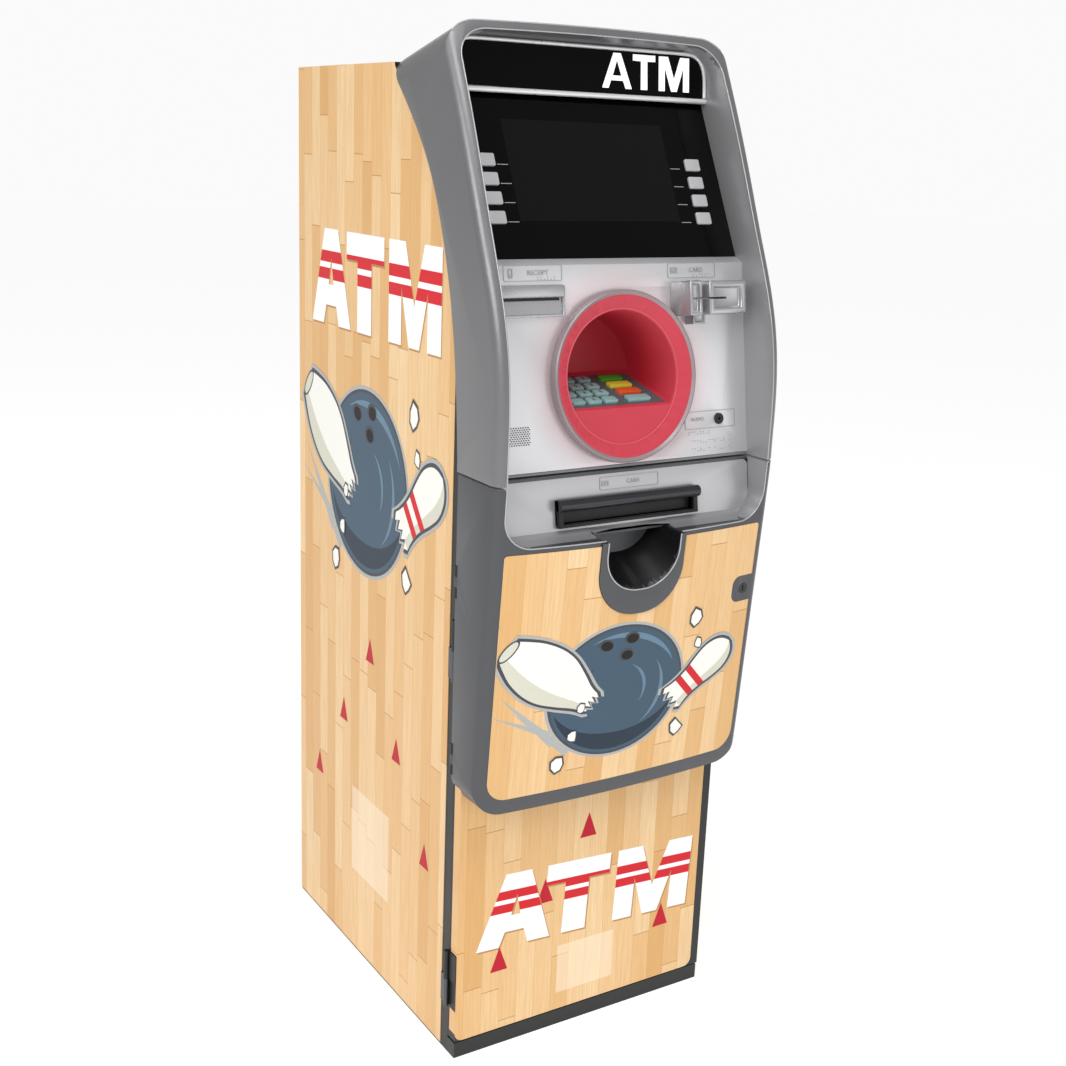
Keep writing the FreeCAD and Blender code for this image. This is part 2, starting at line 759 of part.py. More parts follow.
def make_cash_slot_hood():
    frame = dispense_local(-slot_half - slot_frame + 0.2, slot_half + slot_frame - 0.2,
                           slot_bottom - slot_frame + 0.2, slot_top + slot_frame - 0.2, -panel_sheet, 5.0)
    scale = surface_length(dispense_bottom, dispense_top) / (seam - recess_floor)
    brow_y = (slot_top + slot_frame / 2 - recess_floor) * scale
    brow = bar_x(-slot_half - slot_frame + 0.2, slot_half + slot_frame - 0.2, brow_y, 6.2, 6.0)
    mouth = dispense_local(-slot_half, slot_half, slot_bottom, slot_top, -20, 20)
    lip_y = (slot_bottom - recess_floor) * scale
    wave = Part.makeCylinder(60.0, 40.0, Vector(0, lip_y + 54.0, 1.0), Vector(0, 0, 1))
    rails = []
    top = slot_top + shutter_travel + 4.0
    for sign in (-1, 1):
        outer = sorted((sign * (slot_half + 1.0), sign * (slot_half + 5.0)))
        keep = sorted((sign * (slot_half - 2.5), sign * (slot_half + 5.0)))
        rails.append(dispense_local(outer[0], outer[1], slot_bottom, top, -panel_sheet - 6.0, -panel_sheet))
        rails.append(dispense_local(keep[0], keep[1], slot_bottom, top, -panel_sheet - 6.0,
                                    -panel_sheet - 4.0))
    hood = frame.fuse([brow] + rails).cut([mouth, wave.common(box(-60, 60, -50, lip_y, 1.0, 50))])
    save("cash_slot_hood", placed(hood.removeSplitter(), dispense_place))


def make_cash_shutter():
    flap = dispense_local(-slot_half - 0.6, slot_half + 0.6, slot_bottom - 3.0, slot_top + 2.0,
                          -panel_sheet - 3.4, -panel_sheet - 3.4 + shutter_sheet)
    save("cash_shutter", placed(flap, dispense_place))


def make_key_lock():
    front = lock_front() - 1.0
    plug = bar_y(lock_x, front, lock_front() + 26.0, lock_z, lock_radius)
    keyway = box(lock_x - 0.8, lock_x + 0.8, front - 1, front + 8.0, lock_z - 4.0, lock_z + 4.0)
    cam = box(lock_x - 5.0, lock_x + 5.0, lock_front() + 24.0, lock_front() + 26.5, lock_z - 5.0, lock_z + 20.0)
    save("key_lock", fuse(plug, cam).cut(keyway))


# Upper fascia
def upper_form(inset):
    body = bowed_body(upper_sections, inset, 0.0, upper_bottom + inset, cabinet_top + 80.0)
    return body.common(sloped_top_cut(inset))


def make_upper_fascia():
    outer = upper_form(0.0).common(side_prism(upper_profile(), half * 2))
    funnel = lining.common(outer)
    shell = outer.cut(upper_form(wall)).fuse(funnel).cut(recess)
    lugs = []
    for x in hood_hinges:
        knuckle = bar_x(x - 10, x + 10, hood_axis[0], hood_axis[1], hood_knuckle)
        lug = box(x - 10, x + 10, hood_axis[0] - 5.0, hood_axis[0] - 0.5, hood_axis[1],
                  top_height(hood_axis[0] - 0.5) - 1.0)
        lugs.append(knuckle.fuse(lug).cut(bar_x(x - 12, x + 12, hood_axis[0], hood_axis[1], hood_pin + running)))
    save("upper_fascia_shell", shell.fuse(lugs).removeSplitter())


def make_hinge_pins(door_fixed):
    solids = list(door_fixed)
    for x in hood_hinges:
        rod = bar_x(x - 26, x + 26, hood_axis[0], hood_axis[1], hood_pin)
        for start in (x - 26, x + 10 + knuckle_gap):
            stop = start + 16 - knuckle_gap
            rod = rod.fuse(bar_x(start, stop, hood_axis[0], hood_axis[1], hood_knuckle))
            rod = rod.fuse(box(start, stop, hood_axis[0] - 4.0, hood_axis[0] + 28.0,
                               cabinet_top, cabinet_top + 1.6))
            rod = rod.fuse(box(start, stop, hood_axis[0] - 2.0, hood_axis[0] + 2.0, cabinet_top, hood_axis[1]))
        solids.append(rod.removeSplitter())
    save("hinge_pins", *solids)


def panel_edge():
    return fascia_half - recess_inset + seat


def make_control_panel():
    plate = box(-panel_edge(), panel_edge(), on_panel(upper_bottom + wall + 0.5), panel_length,
                -panel_sheet, 0)
    plate = placed(plate, panel_place)
    lip = side_polygon((panel_top, (panel_top[0] + panel_sheet, panel_top[1] - panel_sheet),
                        (glass_bottom[0] + 1.5, glass_bottom[1] - 2.0), glass_bottom), panel_edge())
    holes = [
        Part.makeCylinder(ring_radius - 2.0, 40, Vector(0, on_panel(ring_height), -20)),
        Part.makeCylinder(4.5, 40, Vector(jack_x, on_panel(jack_z), -20)),
        box(receipt_x - receipt_width / 2 + 3, receipt_x + receipt_width / 2 - 3,
            on_panel(receipt_z) - receipt_height / 2 + 3, on_panel(receipt_z) + receipt_height / 2 - 3, -20, 20),
        box(reader_left + 6, reader_right - 6, on_panel(reader_z) - reader_height / 2 + 6,
            on_panel(reader_z) + reader_height / 2 - 6, -20, 20),
    ]
    cuts = [placed(hole, panel_place) for hole in holes]
    save("control_panel", fuse(plate, lip).cut(cuts))


def side_keys():
    """Side and index, then centre of each function key on the glass."""
    for side, sign in (("left", -1), ("right", 1)):
        for index in range(4):
            yield side, index + 1, sign * side_key_x, glass_length - side_key_first - index * side_key_pitch


def make_screen_glass():
    plate = box(-panel_edge(), panel_edge(), 0.5, glass_length, -glass_sheet, 0)
    holes = [round_block(side_key_width + 2 * key_gap, side_key_height + 2 * key_gap, -10, 10, 2.5, x, y)
             for _, _, x, y in side_keys()]
    save("screen_glass", placed(plate.cut(holes), glass_place))


def make_side_keys():
    for side, index, x, y in side_keys():
        cap = round_block(side_key_width, side_key_height, -glass_sheet - 0.5, side_key_rise, 2.0, x, y)
        flange = round_block(side_key_width + 2 * key_flange, side_key_height + 2 * key_flange,
                             -glass_sheet - 1.5, -glass_sheet - 0.3, 2.0, x, y)
        save("function_key_%s_%d" % (side, index), placed(fuse(cap, flange), glass_place))


def make_lcd_module():
    high = glass_length - lcd_drop
    case = box(-lcd_half - 8, lcd_half + 8, high - lcd_height - 6, high + 6, -glass_sheet - lcd_depth, -glass_sheet)
    first = glass_length - side_key_first
    last = first - 3 * side_key_pitch
    board_depth = glass_sheet + 1.5 + side_key_travel + 0.3
    solids = [case]
    for sign in (-1, 1):
        outer = sorted((sign * (lcd_half + 8), sign * (side_key_x + 16)))
        solids.append(box(outer[0], outer[1], last - 12, first + 12, -board_depth - 2.0, -board_depth))
    save("lcd_module", placed(fuse(*solids), glass_place))


def make_sign_panel():
    wire = rounded_rectangle(panel_edge(), 0.0, sign_length + 3.0, 1.0, recess_corner - 8.0)
    wire.translate(Vector(0, 0, -glass_sheet))
    plate = Part.Face(wire).extrude(Vector(0, 0, glass_sheet))
    save("sign_panel", placed(plate, sign_place))


def above_pad(drop):
    """Everything above the key pad's floor, less a drop, as a block in the pad's own frame."""
    return placed(box(-300, 300, -200, 400, -drop, 400), pad_place)


def make_keypad_surround():
    centre = on_panel(ring_height)

    def disc(radius, low, high):
        return placed(Part.makeCylinder(radius, high - low, Vector(0, centre, low)), panel_place)

    flange = disc(ring_radius, 0, ring_lip).fuse(disc(ring_radius - 2.2, -panel_sheet - 2.0, 0))
    funnel = placed(Part.makeCone(hood_radius + 1.0, ring_radius - 4.0, ring_lip + 0.1, Vector(0, centre, 0)),
                    panel_place)
    cavity = disc(hood_radius, -hood_depth, 20).common(above_pad(0))
    cover = disc(hood_radius + hood_wall, -hood_depth - hood_wall, 0).common(above_pad(pad_plate))
    well = placed(box(-pad_half - 0.3, pad_half + 0.3, 3.0, 3.6 + pad_depth, -40, 1), pad_place)
    save("keypad_surround", cover.fuse(flange).cut([funnel, cavity, well]).removeSplitter())


def pad_keys():
    for row, y in enumerate(key_rows):
        for column, (x, width) in enumerate(key_columns):
            yield row, column, x, y, width


def make_keypad_body():
    case = box(-pad_half, pad_half, 3.3, 3.3 + pad_depth, -pad_case, 0)
    hollow = box(-pad_half + 3, pad_half - 3, 6.3, pad_depth, -pad_case + 3, -pad_plate)
    holes = [box(x - width / 2 - key_gap, x + width / 2 + key_gap, y + 3.3 - key_depth / 2 - key_gap,
                 y + 3.3 + key_depth / 2 + key_gap, -pad_plate - 1, 1)
             for _, _, x, y, width in pad_keys()]
    save("keypad_body", placed(case.cut([hollow] + holes), pad_place))


def make_pad_keys():
    special = ("enter", "clear", "cancel", "blank")
    for row, column, x, y, width in pad_keys():
        cap = round_block(width, key_depth, -pad_plate - 1.0, key_rise, 3.0, x, y + 3.3)
        flange = round_block(width + 2 * key_flange, key_depth + 2 * key_flange, -pad_plate - 1.6,
                             -pad_plate - 0.3, 3.0, x, y + 3.3)
        if column == 3:
            name = "pin_key_" + special[3 - row]
        else:
            name = "pin_key_row%d_col%d" % (4 - row, column + 1)
        save(name, placed(fuse(cap, flange), pad_place))


def make_card_reader():
    centre = on_panel(reader_z)
    low, high = centre - reader_height / 2, centre + reader_height / 2

    def lobe(x0, x1, slant):
        points = [(x0, 0), (x1, 0), (x1, reader_rise - 3.0), (x1 - 3.0, reader_rise),
                  (x0 + slant, reader_rise), (x0 + slant * 0.6, reader_rise - 5.0)]
        corners = [Vector(x, low, z) for x, z in points]
        face = Part.Face(Part.makePolygon(corners + corners[:1]))
        return face.extrude(Vector(0, reader_height, 0))

    left = lobe(reader_left, reader_channel - reader_gap / 2, 7.0)
    right = lobe(reader_channel + reader_gap / 2, reader_right, 2.0)
    web = box(reader_channel - reader_gap, reader_channel + reader_gap, low, high, 0, reader_rise * 0.45)
    tab = box(reader_channel - 7, reader_channel + 11, low - 9.0, low + 2.0, 0, reader_rise * 0.5)
    throat = box(reader_left + 7, reader_right - 7, low + 7, high - 7, -panel_sheet - 70.0, 0)
    slot_left = reader_channel - card_width * 0.32
    slot = box(slot_left, slot_left + card_width, centre - card_slot / 2, centre + card_slot / 2, -60, 60)
    bezel = fuse(left, right, web, tab).cut(slot)
    save("card_reader", placed(bezel, panel_place), placed(throat.cut(slot), panel_place))


def make_receipt_bezel():
    centre = on_panel(receipt_z)
    block = round_block(receipt_width, receipt_height, 0, 7.0, 3.0, receipt_x, centre)
    throat = box(receipt_x - receipt_width / 2 + 3.3, receipt_x + receipt_width / 2 - 3.3,
                 centre - receipt_height / 2 + 3.3, centre + receipt_height / 2 - 3.3, -panel_sheet - 8.0, 0)
    mouth_low, mouth_high = centre - 13.0, centre + 4.0
    x0 = receipt_x - receipt_width / 2 + 7.0
    corners = [Vector(x0, y, z) for y, z in ((mouth_low, 8.0), (mouth_high, 8.0), (mouth_high, -12.0),
                                             (mouth_high - 4.0, -12.0))]
    ramp = Part.Face(Part.makePolygon(corners + corners[:1])).extrude(Vector(receipt_width - 14.0, 0, 0))
    save("receipt_bezel", placed(block.fuse(throat).cut(ramp).removeSplitter(), panel_place))


def make_audio_unit():
    y = on_panel(jack_z)
    jack = Part.makeCylinder(4.3, jack_depth + 4.0, Vector(jack_x, y, -jack_depth - 2.0))
    collar = Part.makeCylinder(7.0, 1.5, Vector(jack_x, y, 0))
    nut = Part.makeCylinder(7.0, 3.0, Vector(jack_x, y, -panel_sheet - 3.0))
    bore = Part.makeCylinder(jack_radius, jack_depth, Vector(jack_x, y, 2.0 - jack_depth))
    speaker = Part.makeCylinder(22.0, 4.0, Vector(speaker_x, y, -panel_sheet - 4.0))
    magnet = Part.makeCone(12.0, 20.0, 14.0, Vector(speaker_x, y, -panel_sheet - 18.0))
    save("audio_unit", placed(fuse(jack, collar, nut).cut(bore), panel_place),
         placed(fuse(speaker, magnet), panel_place))


# Dispenser
def gear_wire(x, y, z, turn):
    """A spur gear's outline with involute flanks and a little backlash."""
    pitch = gear_module * gear_teeth / 2
    base = pitch * math.cos(math.radians(20))
    tip = pitch + gear_module * 0.85
    root = pitch - gear_module * 1.25
    half_tooth = math.pi / (2 * gear_teeth) * 0.9
    lead = math.tan(math.radians(20)) - math.radians(20)
    points = []
    for tooth in range(gear_teeth):
        middle = 2 * math.pi * tooth / gear_teeth + turn
        flank = []
        for radius in (base, (base + pitch) / 2, pitch, (pitch + tip) / 2, tip):
            roll = math.sqrt(max((radius / base) ** 2 - 1, 0))
            flank.append((radius, half_tooth + lead - (roll - math.atan(roll))))
        side = [(root, flank[0][1])] + flank
        outline = [(radius, -angle) for radius, angle in side] + [(radius, angle) for radius, angle in reversed(side)]
        points += [(radius, middle + angle) for radius, angle in outline]
    corners = [Vector(x, y + radius * math.cos(angle), z + radius * math.sin(angle))
               for radius, angle in points]
    return Part.makePolygon(corners + corners[:1])


roller_step = gear_module * gear_teeth + roller_gap


def make_roller(name, z, turn):
    reach = frame_half + gear_width + 3.0
    shaft = bar_x(-frame_half - 4.0, reach, roller_y, z, shaft_radius)
    tyres = [bar_x(x0, x1, roller_y, z, gear_module * gear_teeth / 2 - 0.2)
             for x0, x1 in ((-roller_half, -roller_half + 30), (-15, 15), (roller_half - 30, roller_half))]
    gear = Part.Face(gear_wire(frame_half + 1.5, roller_y, z, turn)).extrude(Vector(gear_width, 0, 0))
    save(name, fuse(shaft, gear, *tyres))


def make_dispenser_frame():
    plates = mirrored_box(frame_half - frame_sheet, frame_half, frame_front, frame_back, safe_floor, frame_top)
    inner = frame_half - frame_sheet
    floor = box(-inner, inner, frame_front, frame_back, cassette_floor - 3.0, cassette_floor)
    bars = [bar_x(-inner - 1, inner + 1, y, z, 6.0)
            for y, z in ((frame_back - 15, 240.0), (frame_back - 15, 500.0), (frame_back - 15, 720.0),
                         (frame_front + 15, 240.0), (frame_front + 15, 540.0))]
    tube = box(-nozzle_half, nozzle_half, nozzle_end, frame_front + 60, nozzle_bottom, nozzle_bottom + nozzle_height)
    bore = box(-nozzle_half + 2, nozzle_half - 2, nozzle_end - 1, frame_front + 61,
               nozzle_bottom + 2, nozzle_bottom + nozzle_height - 2)
    ears = [box(x0, x1, frame_front, frame_front + 40, nozzle_bottom, nozzle_bottom + 3)
            for x0, x1 in ((-inner - 1, -nozzle_half + 1), (nozzle_half - 1, inner + 1))]
    body = fuse(plates[0], plates[1], floor, *bars, *ears).fuse(tube).cut(bore)
    holes = [bar_x(-frame_half - 5, frame_half + 5, roller_y, z, shaft_radius + running)
             for z in (roller_z, roller_z + roller_step)]
    save("dispenser_frame", body.cut(holes).removeSplitter())


def make_cash_cassette():
    low, high = cassette_floor, cassette_floor + cassette_height
    front = frame_front + 5.0
    case = box(-cassette_half, cassette_half, front, frame_back - 25, low, high - 8.0)
    lid = box(-cassette_half + 2, cassette_half - 2, front + 2, frame_back - 27, high - 8.0, high)
    handle = bar_x(-45, 45, front - 9.0, low + 75.0, 5.0)
    arms = [box(x - 4, x + 4, front - 9.0, front + 1, low + 71.0, low + 79.0) for x in (-41.0, 41.0)]
    save("cash_cassette", fuse(case, lid, handle, *arms))


# Printer and computer
def make_printer_frame():
    low = safe_height
    high = safe_height + printer_height
    plates = [box(x, x + 3.0, printer_front, printer_back, low, high)
              for x in (printer_left, printer_right - 3.0)]
    base = box(printer_left, printer_right, printer_front, printer_back, low, low + 3.0)
    head_front = printer_front - printer_head_reach
    head = box(printer_left, printer_right, head_front, head_front + 50.0, high - 45.0, high)
    chute = box(printer_left + 8, printer_right - 8, head_front - 1, head_front + 51.0, high - 20.0, high - 15.0)
    spindle = bar_x(printer_left, printer_right, paper_y, paper_z, spool_radius)
    save("printer_frame", fuse(plates[0], plates[1], base, head, spindle).cut(chute))


def make_paper_roll():
    middle = (printer_left + printer_right) / 2
    roll = bar_x(middle - paper_width / 2, middle + paper_width / 2, paper_y, paper_z, paper_radius)
    core = bar_x(middle - paper_width, middle + paper_width, paper_y, paper_z, spool_radius + running)
    save("paper_roll", roll.cut(core))


def make_computer_box():
    width, depth, height = computer_size
    x, y = computer_corner
    case = box(x, x + width, y, y + depth, safe_height, safe_height + height)
    inside = box(x + computer_sheet, x + width - computer_sheet, y + computer_sheet,
                 y + depth - computer_sheet, safe_height + computer_sheet,
                 safe_height + height - computer_sheet)
    slots = [box(x + 20 + 14 * step, x + 26 + 14 * step, y - 1, y + 2, safe_height + 180, safe_height + 280)
             for step in range(8)]
    save("computer_box", case.cut([inside] + slots))


def main():
    os.makedirs("parts", exist_ok=True)
    door_fixed, door_moving = upright_hinge(door_axis, door_hinges, door_knuckle, door_pin,
                                            cabinet_leaf, door_leaf, (0.0, 0.5, 1.0))
    fascia_fixed, fascia_moving = upright_hinge(fascia_axis, fascia_hinges, fascia_knuckle, fascia_pin,
                                                fascia_leaf, wall_leaf, (0.0, 0.33, 0.67, 1.0))
    make_safe()
    make_upper_cabinet()
    make_rear_panel()
    make_base_plinth()
    make_side_wraps()
    make_hinge_pins(door_fixed)
    make_safe_door(fascia_fixed, door_moving)
    make_door_wrap()
    make_boltwork_cover()
    make_locking_bolts()
    make_lock_dial()
    make_door_handle()
    make_lower_wrap(make_lower_fascia(fascia_moving))
    make_cash_tray()
    make_dispense_panel()
    make_cash_slot_hood()
    make_cash_shutter()
    make_key_lock()
    make_upper_fascia()
    make_control_panel()
    make_screen_glass()
    make_side_keys()
    make_lcd_module()
    make_sign_panel()
    make_keypad_surround()
    make_keypad_body()
    make_pad_keys()
    make_card_reader()
    make_receipt_bezel()
    make_audio_unit()
    make_dispenser_frame()
    make_roller("pick_roller", roller_z, 0.0)
    make_roller("feed_roller", roller_z + roller_step, math.pi / gear_teeth)
    make_cash_cassette()
    make_printer_frame()
    make_paper_roll()
    make_computer_box()


main()
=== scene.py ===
import math
import random

import bmesh
import bpy
from mathutils import Matrix, Vector


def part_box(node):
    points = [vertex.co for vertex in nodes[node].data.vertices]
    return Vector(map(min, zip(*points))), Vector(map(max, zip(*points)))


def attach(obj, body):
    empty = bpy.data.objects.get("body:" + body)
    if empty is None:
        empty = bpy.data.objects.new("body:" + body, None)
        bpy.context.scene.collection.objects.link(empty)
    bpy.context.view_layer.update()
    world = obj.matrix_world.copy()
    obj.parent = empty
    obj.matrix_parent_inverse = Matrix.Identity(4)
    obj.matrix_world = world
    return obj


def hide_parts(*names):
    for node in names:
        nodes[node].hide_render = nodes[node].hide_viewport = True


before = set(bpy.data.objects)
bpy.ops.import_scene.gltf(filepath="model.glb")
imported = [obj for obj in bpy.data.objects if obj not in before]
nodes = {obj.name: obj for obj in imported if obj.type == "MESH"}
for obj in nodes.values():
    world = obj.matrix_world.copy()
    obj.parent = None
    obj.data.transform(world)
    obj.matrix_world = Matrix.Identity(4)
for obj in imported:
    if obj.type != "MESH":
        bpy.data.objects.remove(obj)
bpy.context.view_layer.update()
mm = 0.001

# Room, lights and camera
# A pale painted floor that glows a little, under two large soft lights from the left and from above.
# A third low light fills the shaded side, and the camera stands in front and to the left.
def blank_material(name):
    """A new material, with its node tree and its shader."""
    material = bpy.data.materials.new(name)
    material.use_nodes = True
    return material, material.node_tree, material.node_tree.nodes["Principled BSDF"]


bpy.ops.object.select_all(action="DESELECT")
bpy.ops.mesh.primitive_plane_add(size=40.0, location=(0, 0, 0))
floor = bpy.context.object
floor.name = "floor"
floor_paint, _, floor_shade = blank_material("floor_paint")
floor_shade.inputs["Base Color"].default_value = (0.90, 0.90, 0.90, 1)
floor_shade.inputs["Emission Color"].default_value = (1, 1, 1, 1)
floor_shade.inputs["Emission Strength"].default_value = 0.50
floor_shade.inputs["Roughness"].default_value = 0.9
floor.data.materials.append(floor_paint)

world = bpy.data.worlds.new("studio")
bpy.context.scene.world = world
world.use_nodes = True
sky = world.node_tree
sky_ray = sky.nodes.new("ShaderNodeLightPath")
sky_mix = sky.nodes.new("ShaderNodeMix")
sky_mix.data_type = "RGBA"
sky.links.new(sky_ray.outputs["Is Camera Ray"], sky_mix.inputs[0])
room_light = (0.50, 0.50, 0.50, 1)
room_backdrop = (0.96, 0.96, 0.96, 1)
sky_mix.inputs[6].default_value = room_light
sky_mix.inputs[7].default_value = room_backdrop
sky.links.new(sky_mix.outputs[2], sky.nodes["Background"].inputs["Color"])
sky.nodes["Background"].inputs["Strength"].default_value = 1.0


def soft_light(name, place, aim, size, power):
    """A square soft box at place, turned towards aim."""
    lamp = bpy.data.lights.new(name, "AREA")
    lamp.size = size
    lamp.energy = power
    light = bpy.data.objects.new(name, lamp)
    light.location = place
    light.rotation_euler = (Vector(aim) - Vector(place)).to_track_quat("-Z", "Y").to_euler()
    bpy.context.collection.objects.link(light)


soft_light("key_light", (-2.6, -1.9, 2.4), (0, -0.1, 0.8), 1.3, 40.0)
soft_light("top_light", (-0.4, -1.3, 3.2), (0, -0.2, 1.0), 1.1, 26.0)
soft_light("fill_light", (1.7, -3.2, 1.0), (0, 0, 0.6), 1.4, 6.0)

camera_data = bpy.data.cameras.new("camera")
camera_data.sensor_width = 36.0
camera_data.lens = 48.39
camera_data.shift_x = 0.0045
camera_data.shift_y = -0.0182
camera = bpy.data.objects.new("camera", camera_data)
bpy.context.collection.objects.link(camera)
camera_turn = math.radians(-32.14)
camera_down = math.radians(14.54)
camera_roll = math.radians(-2.13)
camera.rotation_mode = "QUATERNION"
look = Vector((-math.sin(camera_turn) * math.cos(camera_down),
               math.cos(camera_turn) * math.cos(camera_down), -math.sin(camera_down)))
roll = Matrix.Rotation(camera_roll, 3, look)
camera.rotation_quaternion = roll.to_quaternion() @ look.to_track_quat("-Z", "Y")
camera.location = (-1.0092, -1.6895, 1.1642)
bpy.context.scene.camera = camera
bpy.context.scene.view_settings.view_transform = "Standard"


# Shared surface effects
# Every made surface has a faint mottle in tone and gloss, and a grain: moulded plastic is pebbled,
# powder paint is orange-peeled, and the paper's grain is drawn out along one direction.
def new_group(name, inputs, outputs):
    """An empty shader group with its float or vector inputs and its outputs."""
    group = bpy.data.node_groups.new(name, "ShaderNodeTree")
    for label, value in inputs:
        kind = "NodeSocketVector" if value is None else "NodeSocketFloat"
        socket = group.interface.new_socket(label, in_out="INPUT", socket_type=kind)
        if value is not None:
            socket.default_value = value
    for label, kind in outputs:
        group.interface.new_socket(label, in_out="OUTPUT", socket_type=kind)
    return group, group.nodes.new("NodeGroupInput"), group.nodes.new("NodeGroupOutput")


def step(tree, kind, *feeds, **settings):
    """Add a node; feeds go to its inputs in order, as values or as other nodes' outputs."""
    made = tree.nodes.new(kind)
    for key, value in settings.items():
        setattr(made, key, value)
    for slot, feed in zip(made.inputs, feeds):
        if feed is None:
            continue
        if isinstance(feed, bpy.types.NodeSocket):
            tree.links.new(feed, slot)
        else:
            slot.default_value = feed
    return made


def maths(tree, operation, first, second=0.0, third=0.0):
    """One sum in a shader, as the output of its node."""
    return step(tree, "ShaderNodeMath", first, second, third, operation=operation).outputs[0]


grain_group, grain_in, grain_out = new_group(
    "surface_grain", (("Place", None), ("Grain", 900.0), ("Mottle", 14.0)),
    (("Height", "NodeSocketFloat"), ("Mottle", "NodeSocketFloat")))
fine = step(grain_group, "ShaderNodeTexNoise", grain_in.outputs["Place"])
grain_group.links.new(grain_in.outputs["Grain"], fine.inputs["Scale"])
fine.inputs["Detail"].default_value = 2.0
broad = step(grain_group, "ShaderNodeTexNoise", grain_in.outputs["Place"])
grain_group.links.new(grain_in.outputs["Mottle"], broad.inputs["Scale"])
broad.inputs["Detail"].default_value = 5.0
grain_group.links.new(fine.outputs[0], grain_out.inputs["Height"])
grain_group.links.new(broad.outputs[0], grain_out.inputs["Mottle"])


def ink(red, green, blue):
    """A colour given in the 0 to 255 of a paint chart, as light values."""
    shares = [value / 255.0 for value in (red, green, blue)]
    return tuple(s / 12.92 if s <= 0.04045 else ((s + 0.055) / 1.055) ** 2.4 for s in shares) + (1.0,)


def mix(tree, share, first, second):
    """Blend two colours, as the output of its node."""
    blend = tree.nodes.new("ShaderNodeMix")
    blend.data_type = "RGBA"
    for slot, feed in ((blend.inputs[0], share), (blend.inputs[6], first), (blend.inputs[7], second)):
        if isinstance(feed, bpy.types.NodeSocket):
            tree.links.new(feed, slot)
        else:
            slot.default_value = feed
    return blend.outputs[2]


def raise_grain(tree, shade, height, strength, distance):
    """Let a height show as a fine relief."""
    raised = step(tree, "ShaderNodeBump")
    raised.inputs["Strength"].default_value = strength
    raised.inputs["Distance"].default_value = distance
    tree.links.new(height, raised.inputs["Height"])
    tree.links.new(raised.outputs[0], shade.inputs["Normal"])


def finish(name, color, roughness, metallic=0.0, tone=0.12, grain=900.0, bump=0.05,
           stretch=(1.0, 1.0, 1.0), emission=0.0, shine=0.5):
    """A made surface: colour with a faint mottle, gloss that varies a little, and a fine grain."""
    material, tree, shade = blank_material(name)
    place = step(tree, "ShaderNodeTexCoord").outputs["Object"]
    stretched = step(tree, "ShaderNodeMapping", place)
    stretched.inputs["Scale"].default_value = stretch
    surface = step(tree, "ShaderNodeGroup", node_tree=grain_group)
    tree.links.new(stretched.outputs[0], surface.inputs["Place"])
    surface.inputs["Grain"].default_value = grain
    dark = tuple(value * (1.0 - tone) for value in color[:3]) + (1.0,)
    light = tuple(min(1.0, value * (1.0 + tone)) for value in color[:3]) + (1.0,)
    tree.links.new(mix(tree, surface.outputs["Mottle"], dark, light), shade.inputs["Base Color"])
    swing = 0.16
    gloss = maths(tree, "MULTIPLY_ADD", surface.outputs["Mottle"], swing, roughness - swing / 2)
    tree.links.new(gloss, shade.inputs["Roughness"])
    raise_grain(tree, shade, surface.outputs["Height"], bump, 0.0004)
    shade.inputs["Metallic"].default_value = metallic
    shade.inputs["Specular IOR Level"].default_value = shine
    if emission:
        shade.inputs["Emission Color"].default_value = color
        shade.inputs["Emission Strength"].default_value = emission
    return material


def coat_node(material, *names):
    """Give CAD nodes, or pieces, their finish."""
    for name in names:
        data = nodes[name].data if isinstance(name, str) else name.data
        if not data.materials:
            data.materials.append(material)
        for index in range(len(data.materials)):
            data.materials[index] = material


def only(piece):
    """Leave nothing but this piece selected, and make it the active one."""
    bpy.ops.object.select_all(action="DESELECT")
    piece.select_set(True)
    bpy.context.view_layer.objects.active = piece


def settle(piece, name, material, body, angle=35.0):
    """Name a finished piece, shade it, and put it on its body."""
    piece.name = name
    piece.data.name = name
    only(piece)
    bpy.ops.object.transform_apply(location=True, rotation=True, scale=True)
    bpy.ops.object.shade_smooth_by_angle(angle=math.radians(angle))
    if material is not None:
        piece.data.materials.clear()
        piece.data.materials.append(material)
    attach(piece, body)
    return piece


def shape_with(piece, kind, **settings):
    """Add a modifier to a piece and apply it."""
    only(piece)
    added = piece.modifiers.new(kind.lower(), kind)
    for key, value in settings.items():
        setattr(added, key, value)
    bpy.ops.object.modifier_apply(modifier=added.name)


def rounded_copy(node, name, material, width, body, second=None, second_here=None):
    """A CAD node again with its sharp edges broken, as a moulding or a casting has them. Faces where
    second_here says so take the second finish."""
    piece = nodes[node].copy()
    piece.data = nodes[node].data.copy()
    piece.parent = None
    piece.matrix_world = Matrix.Identity(4)
    bpy.context.collection.objects.link(piece)
    for key in [key for key in piece.keys() if key.startswith("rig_")]:
        del piece[key]
    only(piece)
    bpy.ops.object.mode_set(mode="EDIT")
    bpy.ops.mesh.select_all(action="SELECT")
    bpy.ops.mesh.remove_doubles(threshold=0.00002)
    bpy.ops.mesh.dissolve_limited(angle_limit=math.radians(0.6))
    bpy.ops.object.mode_set(mode="OBJECT")
    shape_with(piece, "BEVEL", width=width, segments=3, limit_method="ANGLE",
               angle_limit=math.radians(32.0), use_clamp_overlap=True, harden_normals=False)
    settle(piece, name, material, body)
    if second is not None:
        piece.data.materials.append(second)
        for face in piece.data.polygons:
            if second_here(face.center * 1000.0, face.normal):
                face.material_index = 1
    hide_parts(node)
    return piece


